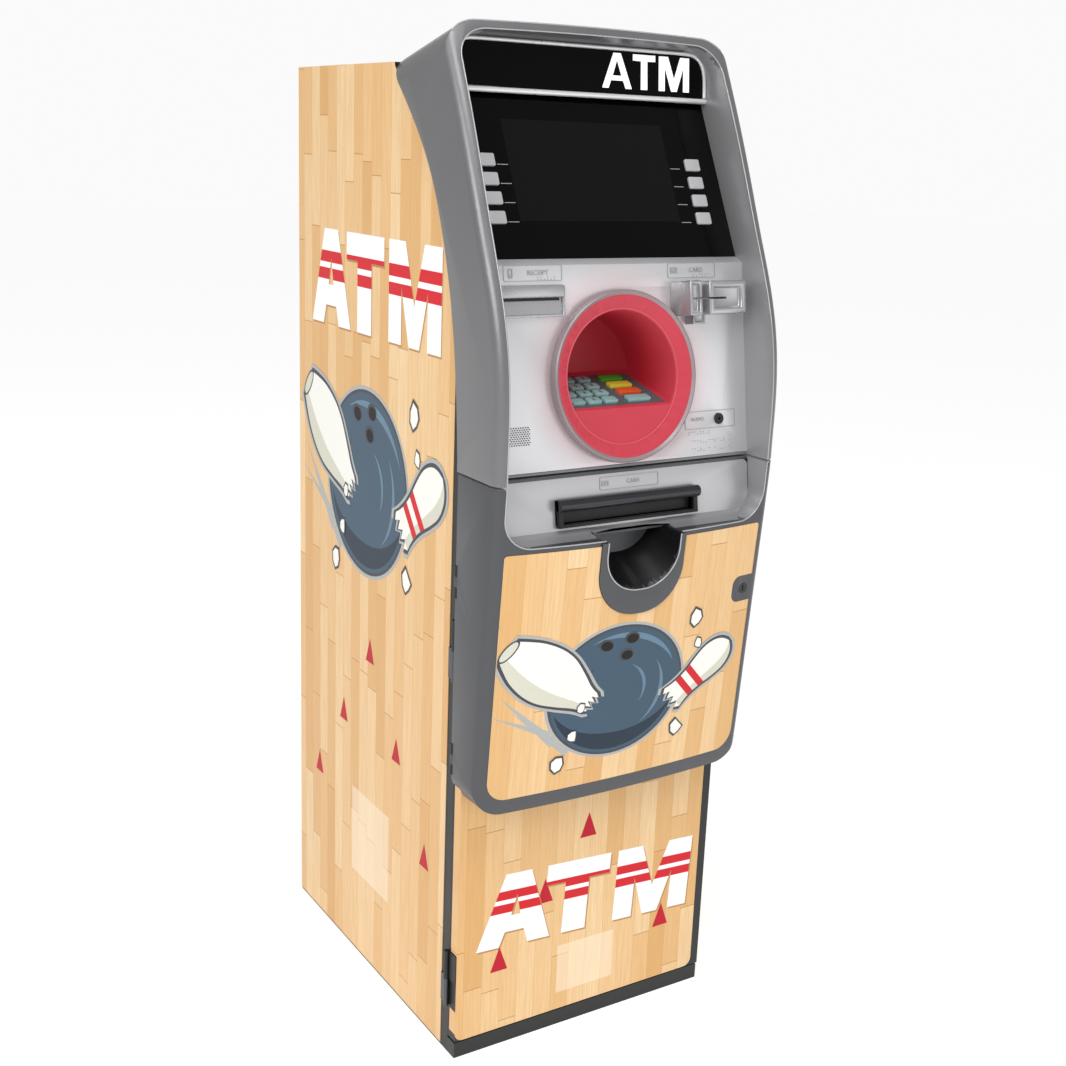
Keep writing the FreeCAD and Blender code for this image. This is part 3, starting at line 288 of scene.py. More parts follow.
# Printed vinyl wrap
# The cabinet's sides, the safe door and the lower fascia are covered with printed vinyl film that
# shows upright maple lane boards, butted end to end at staggered heights.
boards_group, boards_in, boards_out = new_group(
    "lane_boards", (("Across", 0.0), ("Along", 0.0), ("Board Width", 0.027), ("Board Length", 0.23)),
    (("Color", "NodeSocketColor"), ("Height", "NodeSocketFloat")))
across_board, along_board = boards_in.outputs["Across"], boards_in.outputs["Along"]
board_width, board_length = boards_in.outputs["Board Width"], boards_in.outputs["Board Length"]
row_place = maths(boards_group, "DIVIDE", across_board, board_width)
row = maths(boards_group, "FLOOR", row_place)
row_chance = step(boards_group, "ShaderNodeTexWhiteNoise", None, None, noise_dimensions="1D")
boards_group.links.new(row, row_chance.inputs["W"])
length_place = maths(boards_group, "DIVIDE", along_board, board_length)
stagger = maths(boards_group, "MULTIPLY", row_chance.outputs[0], 7.0)
end_place = maths(boards_group, "ADD", length_place, stagger)
board = maths(boards_group, "FLOOR", end_place)
board_key = step(boards_group, "ShaderNodeCombineXYZ", row, board, 0.0).outputs[0]
board_chance = step(boards_group, "ShaderNodeTexWhiteNoise", board_key, noise_dimensions="3D")
grain_place = step(
    boards_group, "ShaderNodeCombineXYZ", maths(boards_group, "MULTIPLY", across_board, 420.0),
    maths(boards_group, "MULTIPLY", along_board, 16.0),
    maths(boards_group, "MULTIPLY", board_chance.outputs[0], 40.0)).outputs[0]
wood_grain = step(boards_group, "ShaderNodeTexNoise", grain_place)
wood_grain.inputs["Scale"].default_value = 1.0
wood_grain.inputs["Detail"].default_value = 6.0
wood_grain.inputs["Roughness"].default_value = 0.62
tones = step(boards_group, "ShaderNodeValToRGB", board_chance.outputs[0])
tones.color_ramp.elements[0].color = ink(222, 174, 112)
tones.color_ramp.elements[1].color = ink(244, 214, 168)
middle_tone = tones.color_ramp.elements.new(0.45)
middle_tone.color = ink(234, 193, 138)
streaks = step(boards_group, "ShaderNodeMapRange", wood_grain.outputs[0], 0.30, 0.68, 0.0, 1.0).outputs[0]
streaked = mix(boards_group, maths(boards_group, "MULTIPLY", streaks, 0.42), tones.outputs[0],
               ink(206, 156, 98))


def seam_mask(place, length, width):
    """1 on the joint between two boards and 0 elsewhere."""
    share = maths(boards_group, "FRACT", place)
    middle = maths(boards_group, "ABSOLUTE", maths(boards_group, "SUBTRACT", share, 0.5))
    edge = maths(boards_group, "MULTIPLY", maths(boards_group, "SUBTRACT", 0.5, middle), length)
    return maths(boards_group, "LESS_THAN", edge, width)


side_seam = maths(boards_group, "MULTIPLY", seam_mask(row_place, board_width, 0.00035), 0.5)
end_seam = maths(boards_group, "MULTIPLY", seam_mask(end_place, board_length, 0.0006), 0.75)
softened = mix(boards_group, side_seam, streaked, ink(196, 146, 88))
jointed = mix(boards_group, end_seam, softened, ink(176, 122, 62))
boards_group.links.new(jointed, boards_out.inputs["Color"])
boards_group.links.new(streaks, boards_out.inputs["Height"])


def within(tree, place, ranges):
    """1 where a place lies between the low and the high value of each axis, and 0 elsewhere."""
    inside = 1.0
    for axis, low, high in ranges:
        past = maths(tree, "GREATER_THAN", place.outputs[axis], low)
        short = maths(tree, "LESS_THAN", place.outputs[axis], high)
        inside = maths(tree, "MULTIPLY", maths(tree, "MULTIPLY", past, short), inside)
    return inside


def board_print(name, across, patches):
    """Vinyl film with the boards upright, and pale patches given as their low and high corners."""
    material, tree, shade = blank_material(name)
    place = step(tree, "ShaderNodeSeparateXYZ", step(tree, "ShaderNodeTexCoord").outputs["Object"])
    boards = step(tree, "ShaderNodeGroup", node_tree=boards_group)
    tree.links.new(place.outputs[across], boards.inputs["Across"])
    tree.links.new(place.outputs[2], boards.inputs["Along"])
    color = boards.outputs["Color"]
    for low, high in patches:
        inside = within(tree, place, ((across, low[0] * mm, high[0] * mm), (2, low[1] * mm, high[1] * mm)))
        color = mix(tree, maths(tree, "MULTIPLY", inside, 0.45), color, ink(250, 236, 212))
    tree.links.new(color, shade.inputs["Base Color"])
    shade.inputs["Roughness"].default_value = 0.42
    shade.inputs["Specular IOR Level"].default_value = 0.3
    raise_grain(tree, shade, boards.outputs["Height"], 0.04, 0.0002)
    return material


side_print = board_print("side_film", 1, (((-70.0, 127.0), (48.0, 257.0)),))
door_print = board_print("door_film", 0, (((-45.0, 51.0), (46.0, 122.0)),))
fascia_print = board_print("fascia_film", 0, ())
coat_node(side_print, "side_wraps")
coat_node(door_print, "safe_door_wrap")
coat_node(fascia_print, "lower_fascia_wrap")


# Artwork on the wrap
# Block letters with two red bands, a bowling ball between two pins, and small red lane arrows are
# printed on the film. Each is a thin cut shape laid on the film, and bent to it where it is bowed.
def print_ink(name, color, roughness=0.45, tone=0.03):
    """Flat ink with little shine."""
    return finish(name, ink(*color), roughness, tone=tone, bump=0.01, shine=0.2)


white_ink = print_ink("white_ink", (250, 250, 250), tone=0.01)
red_ink = print_ink("red_ink", (212, 34, 44))
arrow_ink = print_ink("arrow_ink", (190, 22, 44))
shadow_ink = print_ink("shadow_ink", (186, 142, 92), 0.55)
outline_ink = print_ink("outline_ink", (74, 76, 80))
halo_ink = print_ink("halo_ink", (176, 178, 176))
ball_ink = print_ink("ball_ink", (68, 90, 108), 0.40, 0.06)
ball_light_ink = print_ink("ball_light_ink", (104, 132, 152), 0.40, 0.04)
ball_dark_ink = print_ink("ball_dark_ink", (42, 56, 70), 0.40, 0.04)
hole_ink = print_ink("hole_ink", (34, 30, 30), 0.5, 0.04)
pin_ink = print_ink("pin_ink", (244, 243, 236), 0.42, 0.02)
pin_shade_ink = print_ink("pin_shade_ink", (214, 212, 196), 0.42, 0.02)

HEAVY_LETTERS = (
    (0.00, ((0.00, 0.0), (0.27, 0.0), (0.33, 0.2), (0.56, 0.2), (0.62, 0.0), (0.89, 0.0), (0.60, 1.0),
            (0.29, 1.0)), ((0.39, 0.42), (0.50, 0.42), (0.445, 0.70))),
    (0.80, ((0.24, 0.0), (0.54, 0.0), (0.54, 0.72), (0.80, 0.72), (0.80, 1.0), (0.0, 1.0), (0.0, 0.72),
            (0.24, 0.72)), ()),
    (1.70, ((0.0, 0.0), (0.25, 0.0), (0.25, 0.56), (0.40, 0.0), (0.60, 0.0), (0.75, 0.56), (0.75, 0.0),
            (1.0, 0.0), (1.0, 1.0), (0.68, 1.0), (0.50, 0.40), (0.32, 1.0), (0.0, 1.0)), ()),
)
LETTERS_WIDE = 2.70
RED_BANDS = ((0.47, 0.59), (0.65, 0.77))
SHADOW_SHIFT = (2.2, -2.6)


def new_piece(name, data):
    """A piece of its own for a mesh or a curve."""
    piece = bpy.data.objects.new(name, data)
    bpy.context.collection.objects.link(piece)
    return piece


def as_mesh(piece):
    """Turn a curve or a text into a mesh."""
    only(piece)
    bpy.ops.object.convert(target="MESH")
    return bpy.context.object


def stand(piece, right, up, origin, lift):
    """Turn a flat piece to two directions, at an origin in metres and a little in front of it."""
    right, up = Vector(right).normalized(), Vector(up).normalized()
    out = right.cross(up)
    turn = Matrix((right, up, out)).transposed().to_4x4()
    piece.matrix_world = Matrix.Translation(origin + out * lift * mm) @ turn
    bpy.ops.object.transform_apply(location=True, rotation=True, scale=True)


def cut_shape(outlines, right, up, origin, lift):
    """A flat sheet cut to closed outlines, later ones being holes, laid out along two directions."""
    curve = bpy.data.curves.new("cut", "CURVE")
    curve.dimensions = "2D"
    curve.fill_mode = "BOTH"
    for outline in outlines:
        spline = curve.splines.new("POLY")
        spline.points.add(len(outline) - 1)
        for point, (x, y) in zip(spline.points, outline):
            point.co = (x * mm, y * mm, 0, 1)
        spline.use_cyclic_u = True
    piece = as_mesh(new_piece("cut", curve))
    stand(piece, right, up, Vector(origin) * mm, lift)
    return piece


FILM_EDGE = 189.4


def slice_sheet(place, normal, **settings):
    """Cut all of the sheet in edit mode along a plane."""
    bpy.ops.mesh.select_all(action="SELECT")
    bpy.ops.mesh.bisect(plane_co=Vector(place) * mm, plane_no=normal, **settings)


def lay_on(piece, node, lift):
    """Divide a cut sheet finely, trim it to the film and lay it on a bowed CAD surface."""
    only(piece)
    bpy.ops.object.mode_set(mode="EDIT")
    for x in range(-200, 200, 6):
        slice_sheet((x, 0, 0), (1, 0, 0))
    for z in range(380, 700, 20):
        slice_sheet((0, 0, z), (0, 0, 1))
    for side in (-1, 1):
        slice_sheet((side * FILM_EDGE, 0, 0), (side, 0, 0), clear_outer=True)
    bpy.ops.object.mode_set(mode="OBJECT")
    shape_with(piece, "SHRINKWRAP", target=nodes[node], wrap_method="PROJECT", use_project_y=True,
               use_negative_direction=True, use_positive_direction=True)
    for vertex in piece.data.vertices:
        vertex.co.y -= lift * mm


def thicken(piece, depth=0.05):
    """Give a cut sheet the thickness of its ink, backwards."""
    shape_with(piece, "SOLIDIFY", thickness=depth * mm, offset=-1.0)


def join(pieces):
    """Make one piece of several, each keeping its own finish."""
    bpy.ops.object.select_all(action="DESELECT")
    for piece in pieces:
        piece.select_set(True)
    bpy.context.view_layer.objects.active = pieces[0]
    if len(pieces) > 1:
        bpy.ops.object.join()
    return bpy.context.object


def tinted(piece, material):
    """Give a piece one finish only."""
    piece.data.materials.clear()
    piece.data.materials.append(material)
    return piece


def letters(size, spread):
    """Outlines of the three block letters, letter by letter, scaled to a height and a width."""
    made = []
    for start, outline, hole in HEAVY_LETTERS:
        scaled = [((start + x) * spread, y * size) for x, y in outline]
        holes = [[((start + x) * spread, y * size) for x, y in hole]] if hole else []
        made.append((scaled, holes))
    return made


def banded_letters(size, width, right, up, origin, tilt=0.0):
    """White letters with a soft shadow and two red bands."""
    lean = math.radians(tilt)
    level, plumb = Vector(right), Vector(up)
    right = level * math.cos(lean) + plumb * math.sin(lean)
    up = plumb * math.cos(lean) - level * math.sin(lean)
    pieces = []
    spread = width / LETTERS_WIDE
    for outline, holes in letters(size, spread):
        shadow = [[(x + SHADOW_SHIFT[0], y + SHADOW_SHIFT[1]) for x, y in loop] for loop in [outline] + holes]
        pieces.append(tinted(cut_shape(shadow, right, up, origin, 0.08), shadow_ink))
        pieces.append(tinted(cut_shape([outline] + holes, right, up, origin, 0.16), white_ink))
        for low, high in RED_BANDS:
            for stripe in band_parts(outline, holes, low * size, high * size):
                pieces.append(tinted(cut_shape([stripe], right, up, origin, 0.22), red_ink))
    for piece in pieces:
        thicken(piece)
    return join(pieces)


def band_parts(outline, holes, low, high):
    """Convex pieces of a letter between two heights: slices between the crossings of its outline."""
    def crossings(height):
        """Where the outline and its holes cross a height, from left to right."""
        found = []
        for loop in [outline] + holes:
            for a, b in zip(loop, loop[1:] + loop[:1]):
                if (a[1] - height) * (b[1] - height) < 0:
                    found.append(a[0] + (b[0] - a[0]) * (height - a[1]) / (b[1] - a[1]))
        return sorted(found)

    bends = {y for loop in [outline] + holes for _, y in loop if low < y < high}
    levels = sorted({low, high} | bends)
    parts = []
    for start, stop in zip(levels[:-1], levels[1:]):
        bottom, top = crossings(start + 0.01), crossings(stop - 0.01)
        for index in range(0, min(len(bottom), len(top)) - 1, 2):
            parts.append([(bottom[index], start), (bottom[index + 1], start),
                          (top[index + 1], stop), (top[index], stop)])
    return parts


side_x = 200.0
door_face = -269.5
UPRIGHT = (0, 0, 1)
left_letters = banded_letters(129.0, 380.0, (0, -1, 0), UPRIGHT, (-side_x, 187.0, 912.0))
settle(left_letters, "left_side_letters", None, "cabinet")
right_letters = banded_letters(129.0, 380.0, (0, 1, 0), UPRIGHT, (side_x, -193.0, 912.0))
settle(right_letters, "right_side_letters", None, "cabinet")
door_letters = banded_letters(104.0, 341.0, (1, 0, 0), UPRIGHT, (-172.0, door_face, 148.0), -3.2)
settle(door_letters, "door_letters", None, "safe_door")


def ellipse(centre, wide, high, turn=0.0, start=0.0, stop=360.0, count=64):
    """Points round an ellipse, or along a part of it."""
    points = []
    closed = stop - start >= 360.0
    for index in range(count if closed else count + 1):
        angle = math.radians(start + (stop - start) * index / count)
        x, y = wide * math.cos(angle), high * math.sin(angle)
        lean = math.radians(turn)
        points.append((centre[0] + x * math.cos(lean) - y * math.sin(lean),
                       centre[1] + x * math.sin(lean) + y * math.cos(lean)))
    return points


def crescent(centre, wide, high, start, stop, thick):
    """A tapering arc just inside an ellipse."""
    outer = ellipse(centre, wide, high, 0, start, stop, 24)
    inner = []
    for index in range(25):
        share = index / 24
        waist = thick * math.sin(math.pi * share)
        angle = math.radians(start + (stop - start) * share)
        inner.append((centre[0] + (wide - waist) * math.cos(angle),
                      centre[1] + (high - waist) * math.sin(angle)))
    return outer + inner[::-1]


PIN_PROFILE = ((0.00, 0.070), (0.06, 0.100), (0.15, 0.136), (0.27, 0.157), (0.38, 0.150),
               (0.50, 0.112), (0.60, 0.074), (0.67, 0.062), (0.74, 0.066), (0.82, 0.082),
               (0.89, 0.088), (0.95, 0.070), (0.985, 0.038), (1.00, 0.004))


def pin_width(at):
    """Half width of a pin at a share of its length, on a smooth curve through its given widths."""
    last = len(PIN_PROFILE) - 1
    for index in range(last):
        (a, wa), (b, wb) = PIN_PROFILE[index], PIN_PROFILE[index + 1]
        if at <= b:
            before = PIN_PROFILE[max(index - 1, 0)]
            after = PIN_PROFILE[min(index + 2, last)]
            slope_a = (wb - before[1]) / (b - before[0]) * (b - a)
            slope_b = (after[1] - wa) / (after[0] - a) * (b - a)
            t = (at - a) / (b - a)
            return (2 * t ** 3 - 3 * t ** 2 + 1) * wa + (t ** 3 - 2 * t ** 2 + t) * slope_a + \
                (3 * t ** 2 - 2 * t ** 3) * wb + (t ** 3 - t ** 2) * slope_b
    return PIN_PROFILE[-1][1]


def pin_shape(foot, head, fat=1.0, grow=0.0, low=0.0, high=1.0, side=(-1.0, 1.0), jagged=False):
    """Outline of a bowling pin from its foot to its head, or of a slice along it or across it."""
    foot, head = Vector(foot), Vector(head)
    size = (head - foot).length
    along = (head - foot).normalized()
    across = Vector((-along.y, along.x))
    left, right = [], []
    for index in range(41):
        share = index / 40
        centre = foot + along * (size * (low + (high - low) * share) + grow * (2 * share - 1))
        half = size * pin_width(low + (high - low) * share) * fat
        left.append(tuple(centre + across * (half * side[0] + grow * (-1 if side[0] < 0 else 0))))
        right.append(tuple(centre + across * (half * side[1] + grow * (1 if side[1] > 0 else 0))))
    if not jagged:
        return left + right[::-1]
    broken = []
    start, stop = (left[-1], right[-1]) if jagged == "high" else (right[0], left[0])
    sign = 1.0 if jagged == "high" else -1.0
    for index in range(1, 8):
        share = index / 8
        tooth = sign * (7.0 if index % 2 else -3.0)
        broken.append((start[0] + (stop[0] - start[0]) * share + along.x * tooth,
                       start[1] + (stop[1] - start[1]) * share + along.y * tooth))
    return left + broken + right[::-1] if jagged == "high" else left + right[::-1] + broken


def chip(centre, size, chance):
    """An irregular flake."""
    count = 7
    points = []
    for index in range(count):
        angle = 2 * math.pi * index / count
        reach = size * chance.uniform(0.6, 1.1)
        points.append((centre[0] + reach * math.cos(angle), centre[1] + 1.3 * reach * math.sin(angle)))
    return points


FLAKES = ((116, 92, 11), (124, 50, 7), (104, -84, 10), (-62, -62, 9), (-80, -104, 10), (-52, -20, 6))


def ball_art(right, up, origin, wide, high, node=None):
    """The ball between its two pins, as layers of ink from the back to the front."""
    chance = random.Random(11)
    scale_x, scale_y = wide / 100.0, high / 100.0

    def fit(points):
        """Points of the drawing at this print's size."""
        return [(x * scale_x, y * scale_y) for x, y in points]

    left_foot, left_head = (-160, 86), (20, -61)
    right_head, right_foot = (181, 42), (-44, -142)
    near_pin = {"foot": left_foot, "head": left_head, "fat": 1.12, "high": 0.66}
    far_pin = {"foot": right_foot, "head": right_head, "fat": 1.05, "low": 0.60}
    layers = [
        ([(-168, 18), (-92, -74), (-84, -62)], halo_ink),
        ([(-150, -8), (-70, -92), (-64, -84)], halo_ink),
        ([(-176, -12), (-96, -58), (-92, -48)], halo_ink),
        (ellipse((0, 0), 106, 106), halo_ink), (ellipse((0, 0), 102, 102), outline_ink),
        (ellipse((0, 0), 98.5, 98.5), ball_ink),
        (crescent((0, 0), 94, 94, 195, 340, 26), ball_dark_ink),
        (crescent((0, 0), 90, 90, 20, 120, 9), ball_light_ink),
        (crescent((6, -4), 66, 66, 300, 400, 6), ball_light_ink),
        (crescent((-4, 2), 52, 52, 130, 230, 6), ball_dark_ink),
        (crescent((4, 0), 40, 40, 320, 430, 5), ball_light_ink),
        (ellipse((-24, 74), 11.5, 9.5, -20), outline_ink), (ellipse((-23, 73), 9, 7.2, -20), hole_ink),
        (ellipse((14, 80), 11.5, 9.5, -5), outline_ink), (ellipse((15, 79), 9, 7.2, -5), hole_ink),
        (ellipse((8, 55), 11, 9.5, -10), outline_ink), (ellipse((9, 54), 8.6, 7.2, -10), hole_ink),
        (pin_shape(grow=7.0, jagged="high", **near_pin), halo_ink),
        (pin_shape(grow=3.6, jagged="high", **near_pin), outline_ink),
        (pin_shape(jagged="high", **near_pin), pin_ink),
        (pin_shape(side=(-1.0, -0.45), **near_pin), pin_shade_ink),
        (ellipse((-160, 86), 20, 8, 51), outline_ink), (ellipse((-160, 86), 17, 6, 51), pin_shade_ink),
        (pin_shape(grow=7.0, jagged="low", **far_pin), halo_ink),
        (pin_shape(grow=3.6, jagged="low", **far_pin), outline_ink),
        (pin_shape(jagged="low", **far_pin), pin_ink),
        (pin_shape(side=(-1.0, -0.5), **far_pin), pin_shade_ink),
        (pin_shape(right_foot, right_head, 1.05, low=0.665, high=0.70), red_ink),
        (pin_shape(right_foot, right_head, 1.05, low=0.735, high=0.77), red_ink),
    ]
    for x, y, size in FLAKES:
        flake = chip((x, y), size, chance)
        grown = [(x + (px - x) * 1.3, y + (py - y) * 1.3) for px, py in flake]
        layers += [(grown, outline_ink), (flake, pin_ink)]
    pieces = []
    for index, (points, material) in enumerate(layers):
        lift = 0.08 + 0.02 * index
        piece = tinted(cut_shape([fit(points)], right, up, origin, 0.0 if node else lift), material)
        if node:
            lay_on(piece, node, lift)
        pieces.append(piece)
    for piece in pieces:
        thicken(piece, 0.04)
    return join(pieces)


left_ball = ball_art((0, -1, 0), UPRIGHT, (-side_x, 10.0, 713.0), 119.0, 124.0)
settle(left_ball, "left_side_ball", None, "cabinet")
right_ball = ball_art((0, 1, 0), UPRIGHT, (side_x, -10.0, 713.0), 119.0, 124.0)
settle(right_ball, "right_side_ball", None, "cabinet")
fascia_ball = ball_art((1, 0, 0), UPRIGHT, (-17.0, -380.0, 507.0), 99.0, 86.0, "lower_fascia_wrap")
settle(fascia_ball, "fascia_ball", None, "lower_fascia")

SIDE_ARROWS = ((-6.6, 478.0), (77.7, 363.0), (163.3, 247.0), (-89.7, 363.0), (-175.0, 247.0))
UNDER_LETTERS = 208.0
DOOR_ARROWS = ((-3.9, 289.0), (-69.0, UNDER_LETTERS), (-136.5, 127.0), (61.0, UNDER_LETTERS), (126.0, 121.0))
ARROW = [(-13.0, -15.0), (13.0, -15.0), (0.0, 20.0)]


def arrows(places, right, sign, plane):
    """Small lane arrows, as upright triangles at places along and above."""
    pieces = []
    for along, height in places:
        origin = (sign * plane, along, height) if abs(right[1]) else (along, plane, height)
        lift = 0.06 if height == UNDER_LETTERS else 0.14
        piece = tinted(cut_shape([ARROW], right, UPRIGHT, origin, lift), arrow_ink)
        thicken(piece)
        pieces.append(piece)
    return join(pieces)


left_arrows = arrows(SIDE_ARROWS, (0, -1, 0), -1, side_x)
settle(left_arrows, "left_side_arrows", None, "cabinet")
right_arrows = arrows([(-y, z) for y, z in SIDE_ARROWS], (0, 1, 0), 1, side_x)
settle(right_arrows, "right_side_arrows", None, "cabinet")
door_arrows = arrows(DOOR_ARROWS, (1, 0, 0), 1, door_face)
settle(door_arrows, "door_arrows", None, "safe_door")

# Steel cabinet, safe and plinth
# Folded and welded sheet steel with a black powder coat, seen at the edges the film leaves bare.
# What works inside has plain finishes: plated and primed steel, moulded plastic, rubber and paper.
powder_black = finish("powder_black", ink(20, 23, 24), 0.48, tone=0.15, grain=700.0, bump=0.22)
toe_black = finish("toe_black", ink(12, 15, 15), 0.42, tone=0.15, grain=700.0, bump=0.18)
coat_node(powder_black, "safe_body", "upper_cabinet", "rear_panel", "safe_door")
coat_node(toe_black, "base_plinth")
zinc = finish("zinc_plate", ink(168, 170, 172), 0.38, metallic=0.9, tone=0.14, grain=240.0, bump=0.06)
dark_zinc = finish("dark_zinc", ink(88, 90, 94), 0.40, metallic=0.85, tone=0.14, grain=260.0, bump=0.06)
coat_node(dark_zinc, "hinge_pins")
coat_node(zinc, "dispenser_frame", "locking_bolts")
primer_grey = finish("primer_grey", ink(84, 86, 90), 0.5, tone=0.1, grain=600.0, bump=0.12)
coat_node(primer_grey, "printer_frame", "boltwork_cover")
case_grey = finish("case_grey", ink(140, 142, 144), 0.45, tone=0.08, grain=600.0, bump=0.1)
coat_node(case_grey, "computer_box")
cassette_black = finish("cassette_black", ink(44, 47, 54), 0.36, tone=0.1, grain=800.0, bump=0.08)
coat_node(cassette_black, "cash_cassette")
roller_rubber = finish("roller_rubber", ink(36, 36, 37), 0.7, tone=0.1, grain=900.0, bump=0.12)
coat_node(roller_rubber, "pick_roller", "feed_roller")
till_paper = finish("till_paper", ink(240, 239, 234), 0.8, tone=0.03, grain=1400.0, bump=0.06,
                    stretch=(14.0, 1.0, 1.0))
coat_node(till_paper, "paper_roll")

# Fascia mouldings
# Two thick mouldings in grey paint with a metallic sheen, hinged to the cabinet and to the safe door.
# The lower one is painted darker as painted shade, and the recess inside is painted paler as painted
# light. A slim bright strip along the edge of its mouth is a painted highlight.
fascia_grey = finish("fascia_grey", ink(120, 120, 122), 0.36, metallic=0.5, tone=0.06,
                     grain=1500.0, bump=0.12)
# The lower moulding's grey is the same paint painted darker, as painted shade.
fascia_dark = finish("fascia_dark", ink(82, 83, 86), 0.36, metallic=0.5, tone=0.06,
                     grain=1500.0, bump=0.12)
# The recess faces are the same grey paint painted paler, as painted light.
recess_grey_painted_light = finish("recess_grey_painted_light", ink(158, 158, 160), 0.36, metallic=0.4, tone=0.05,
                     grain=1500.0, bump=0.10)
FRONT_LINE = ((362.0, -308.0), (480.0, -318.0), (600.0, -327.0), (700.0, -335.0), (785.0, -341.0),
              (890.0, -340.0), (960.0, -328.0), (1060.0, -290.0), (1150.0, -253.0), (1230.0, -217.0),
              (1340.0, -166.0))
MOUTH_LOW = 706.0
MOUTH_SIDE = 195.0


def front_line(z):
    """How far forward the fascia stands at its sides, at a height."""
    for (low, a), (high, b) in zip(FRONT_LINE[:-1], FRONT_LINE[1:]):
        if z <= high:
            return a + (b - a) * (z - low) / (high - low)
    return FRONT_LINE[-1][1]


# Faces found here take the paler grey that is painted light.
def in_recess(place, normal):
    """True for the faces of the recess, behind its mouth."""
    behind = place.y > front_line(place.z) + 3.0 and normal.y > -0.5
    return place.z > MOUTH_LOW and abs(place.x) < MOUTH_SIDE and behind


def mouth_highlight_bead(node, name, body, here, turned=-0.45):
    """A slim bright strip, a painted highlight, along the edge where a hollow meets the front of a
    moulding, kept where here says so."""
    shape = bmesh.new()
    shape.from_mesh(nodes[node].data)
    bmesh.ops.remove_doubles(shape, verts=shape.verts, dist=0.00002)
    lines = []
    for edge in shape.edges:
        if len(edge.link_faces) != 2:
            continue
        middle = (edge.verts[0].co + edge.verts[1].co) * 500.0
        fronts = sorted(face.normal.y for face in edge.link_faces)
        if here(middle) and fronts[0] < -0.7 and fronts[1] > turned:
            lines.append((edge.verts[0].co.copy(), edge.verts[1].co.copy()))
    shape.free()
    data = bpy.data.meshes.new(name)
    points = [point for line in lines for point in line]
    data.from_pydata(points, [(index, index + 1) for index in range(0, len(points), 2)], [])
    only(new_piece(name, data))
    bpy.ops.object.mode_set(mode="EDIT")
    bpy.ops.mesh.select_all(action="SELECT")
    bpy.ops.mesh.remove_doubles(threshold=0.00005)
    bpy.ops.object.mode_set(mode="OBJECT")
    bpy.ops.object.convert(target="CURVE")
    piece = bpy.context.object
    piece.data.bevel_depth = 0.9 * mm
    piece.data.bevel_resolution = 3
    piece.data.use_fill_caps = True
    return settle(as_mesh(piece), name, edge_painted_highlight, body, 60.0)


# A bright silver that paints the highlight on the rounded mouth edges.
edge_painted_highlight = finish("edge_painted_highlight", ink(180, 180, 182), 0.28, metallic=0.5, tone=0.03, bump=0.0)
bright_bead = finish("bright_bead", ink(222, 222, 224), 0.26, metallic=0.4, tone=0.03, bump=0.0)
rounded_copy("upper_fascia_shell", "upper_fascia", fascia_grey, 1.6 * mm, "upper_fascia",
             recess_grey_painted_light, in_recess)
rounded_copy("lower_fascia_shell", "lower_fascia", fascia_dark, 1.4 * mm, "lower_fascia",
             recess_grey_painted_light, in_recess)
mouth_highlight_bead("upper_fascia_shell", "upper_mouth_highlight", "upper_fascia",
           lambda at: abs(at.x) < 194.0 and at.y < front_line(at.z) + 8.0 and at.z > 787.0)
mouth_highlight_bead("lower_fascia_shell", "lower_mouth_highlight", "lower_fascia",
           lambda at: 66.0 < abs(at.x) < 194.0 and at.y < front_line(at.z) + 8.0 and at.z > 700.0)

# Silver panels
# Thin mouldings in satin silver paint behind the recess: one carries the key pad, the card reader
# and the receipt slot, and the lower one the cash slot. A rosy glow from the hood is painted onto the
# first round the hood, and the lower one is painted darker, as painted shade.
silver_paint = finish("silver_paint", ink(208, 208, 210), 0.34, metallic=0.55, tone=0.05,
                      grain=2200.0, bump=0.05)


def copied_finish(original, name):
    """A copy of a finish, with its tree, its colour socket, its plain colour and its coordinates."""
    material = original.copy()
    material.name = name
    tree = material.node_tree
    socket = tree.nodes["Principled BSDF"].inputs["Base Color"]
    place = step(tree, "ShaderNodeTexCoord").outputs["Object"]
    return material, tree, socket, socket.links[0].from_socket, place


def silver_with_painted_glow():
    """Silver paint with a painted glow of the hood's red light, fading out round it."""
    material, tree, color, plain, place = copied_finish(silver_paint, "silver_with_painted_glow")
    hood_middle = (0.0, -0.289, 0.893)
    reach = step(tree, "ShaderNodeVectorMath", place, hood_middle, operation="DISTANCE").outputs["Value"]
    # The pink near the hood is painted light.
    painted_glow = step(tree, "ShaderNodeMapRange", reach, 0.100, 0.150, 0.20, 0.0, interpolation_type="SMOOTHSTEP")
    tree.links.new(mix(tree, painted_glow.outputs[0], plain, ink(214, 120, 130)), color)
    return material


rounded_copy("control_panel", "control_panel_face", silver_with_painted_glow(), 0.5 * mm, "upper_fascia")
# The cash panel's silver is the control panel's paint painted darker, as painted shade.
cash_silver_painted_shade = finish("cash_silver_painted_shade", ink(184, 184, 187), 0.34, metallic=0.55, tone=0.05,
                     grain=2200.0, bump=0.05)
rounded_copy("dispense_panel", "dispense_panel_face", cash_silver_painted_shade, 0.5 * mm, "lower_fascia")

# Screen and sign
# A sheet of black-printed glass leans back over the display, whose window is a shade lighter.
# The lit sign above it is black acrylic with white letters, and silver beads edge both.
gloss_black = finish("gloss_black", ink(4, 4, 5), 0.12, tone=0.1, bump=0.0, shine=0.1)


def window_glass():
    """Black glass with a lighter window over the display."""
    material, tree, color, plain, place = copied_finish(gloss_black, "window_glass")
    split = step(tree, "ShaderNodeSeparateXYZ", place)
    inside = within(tree, split, ((0, -0.120, 0.114), (2, 1.0745, 1.1895)))
    tree.links.new(mix(tree, inside, plain, ink(15, 15, 16)), color)
    return material


coat_node(window_glass(), "screen_glass")
coat_node(gloss_black, "sign_panel", "lcd_module")

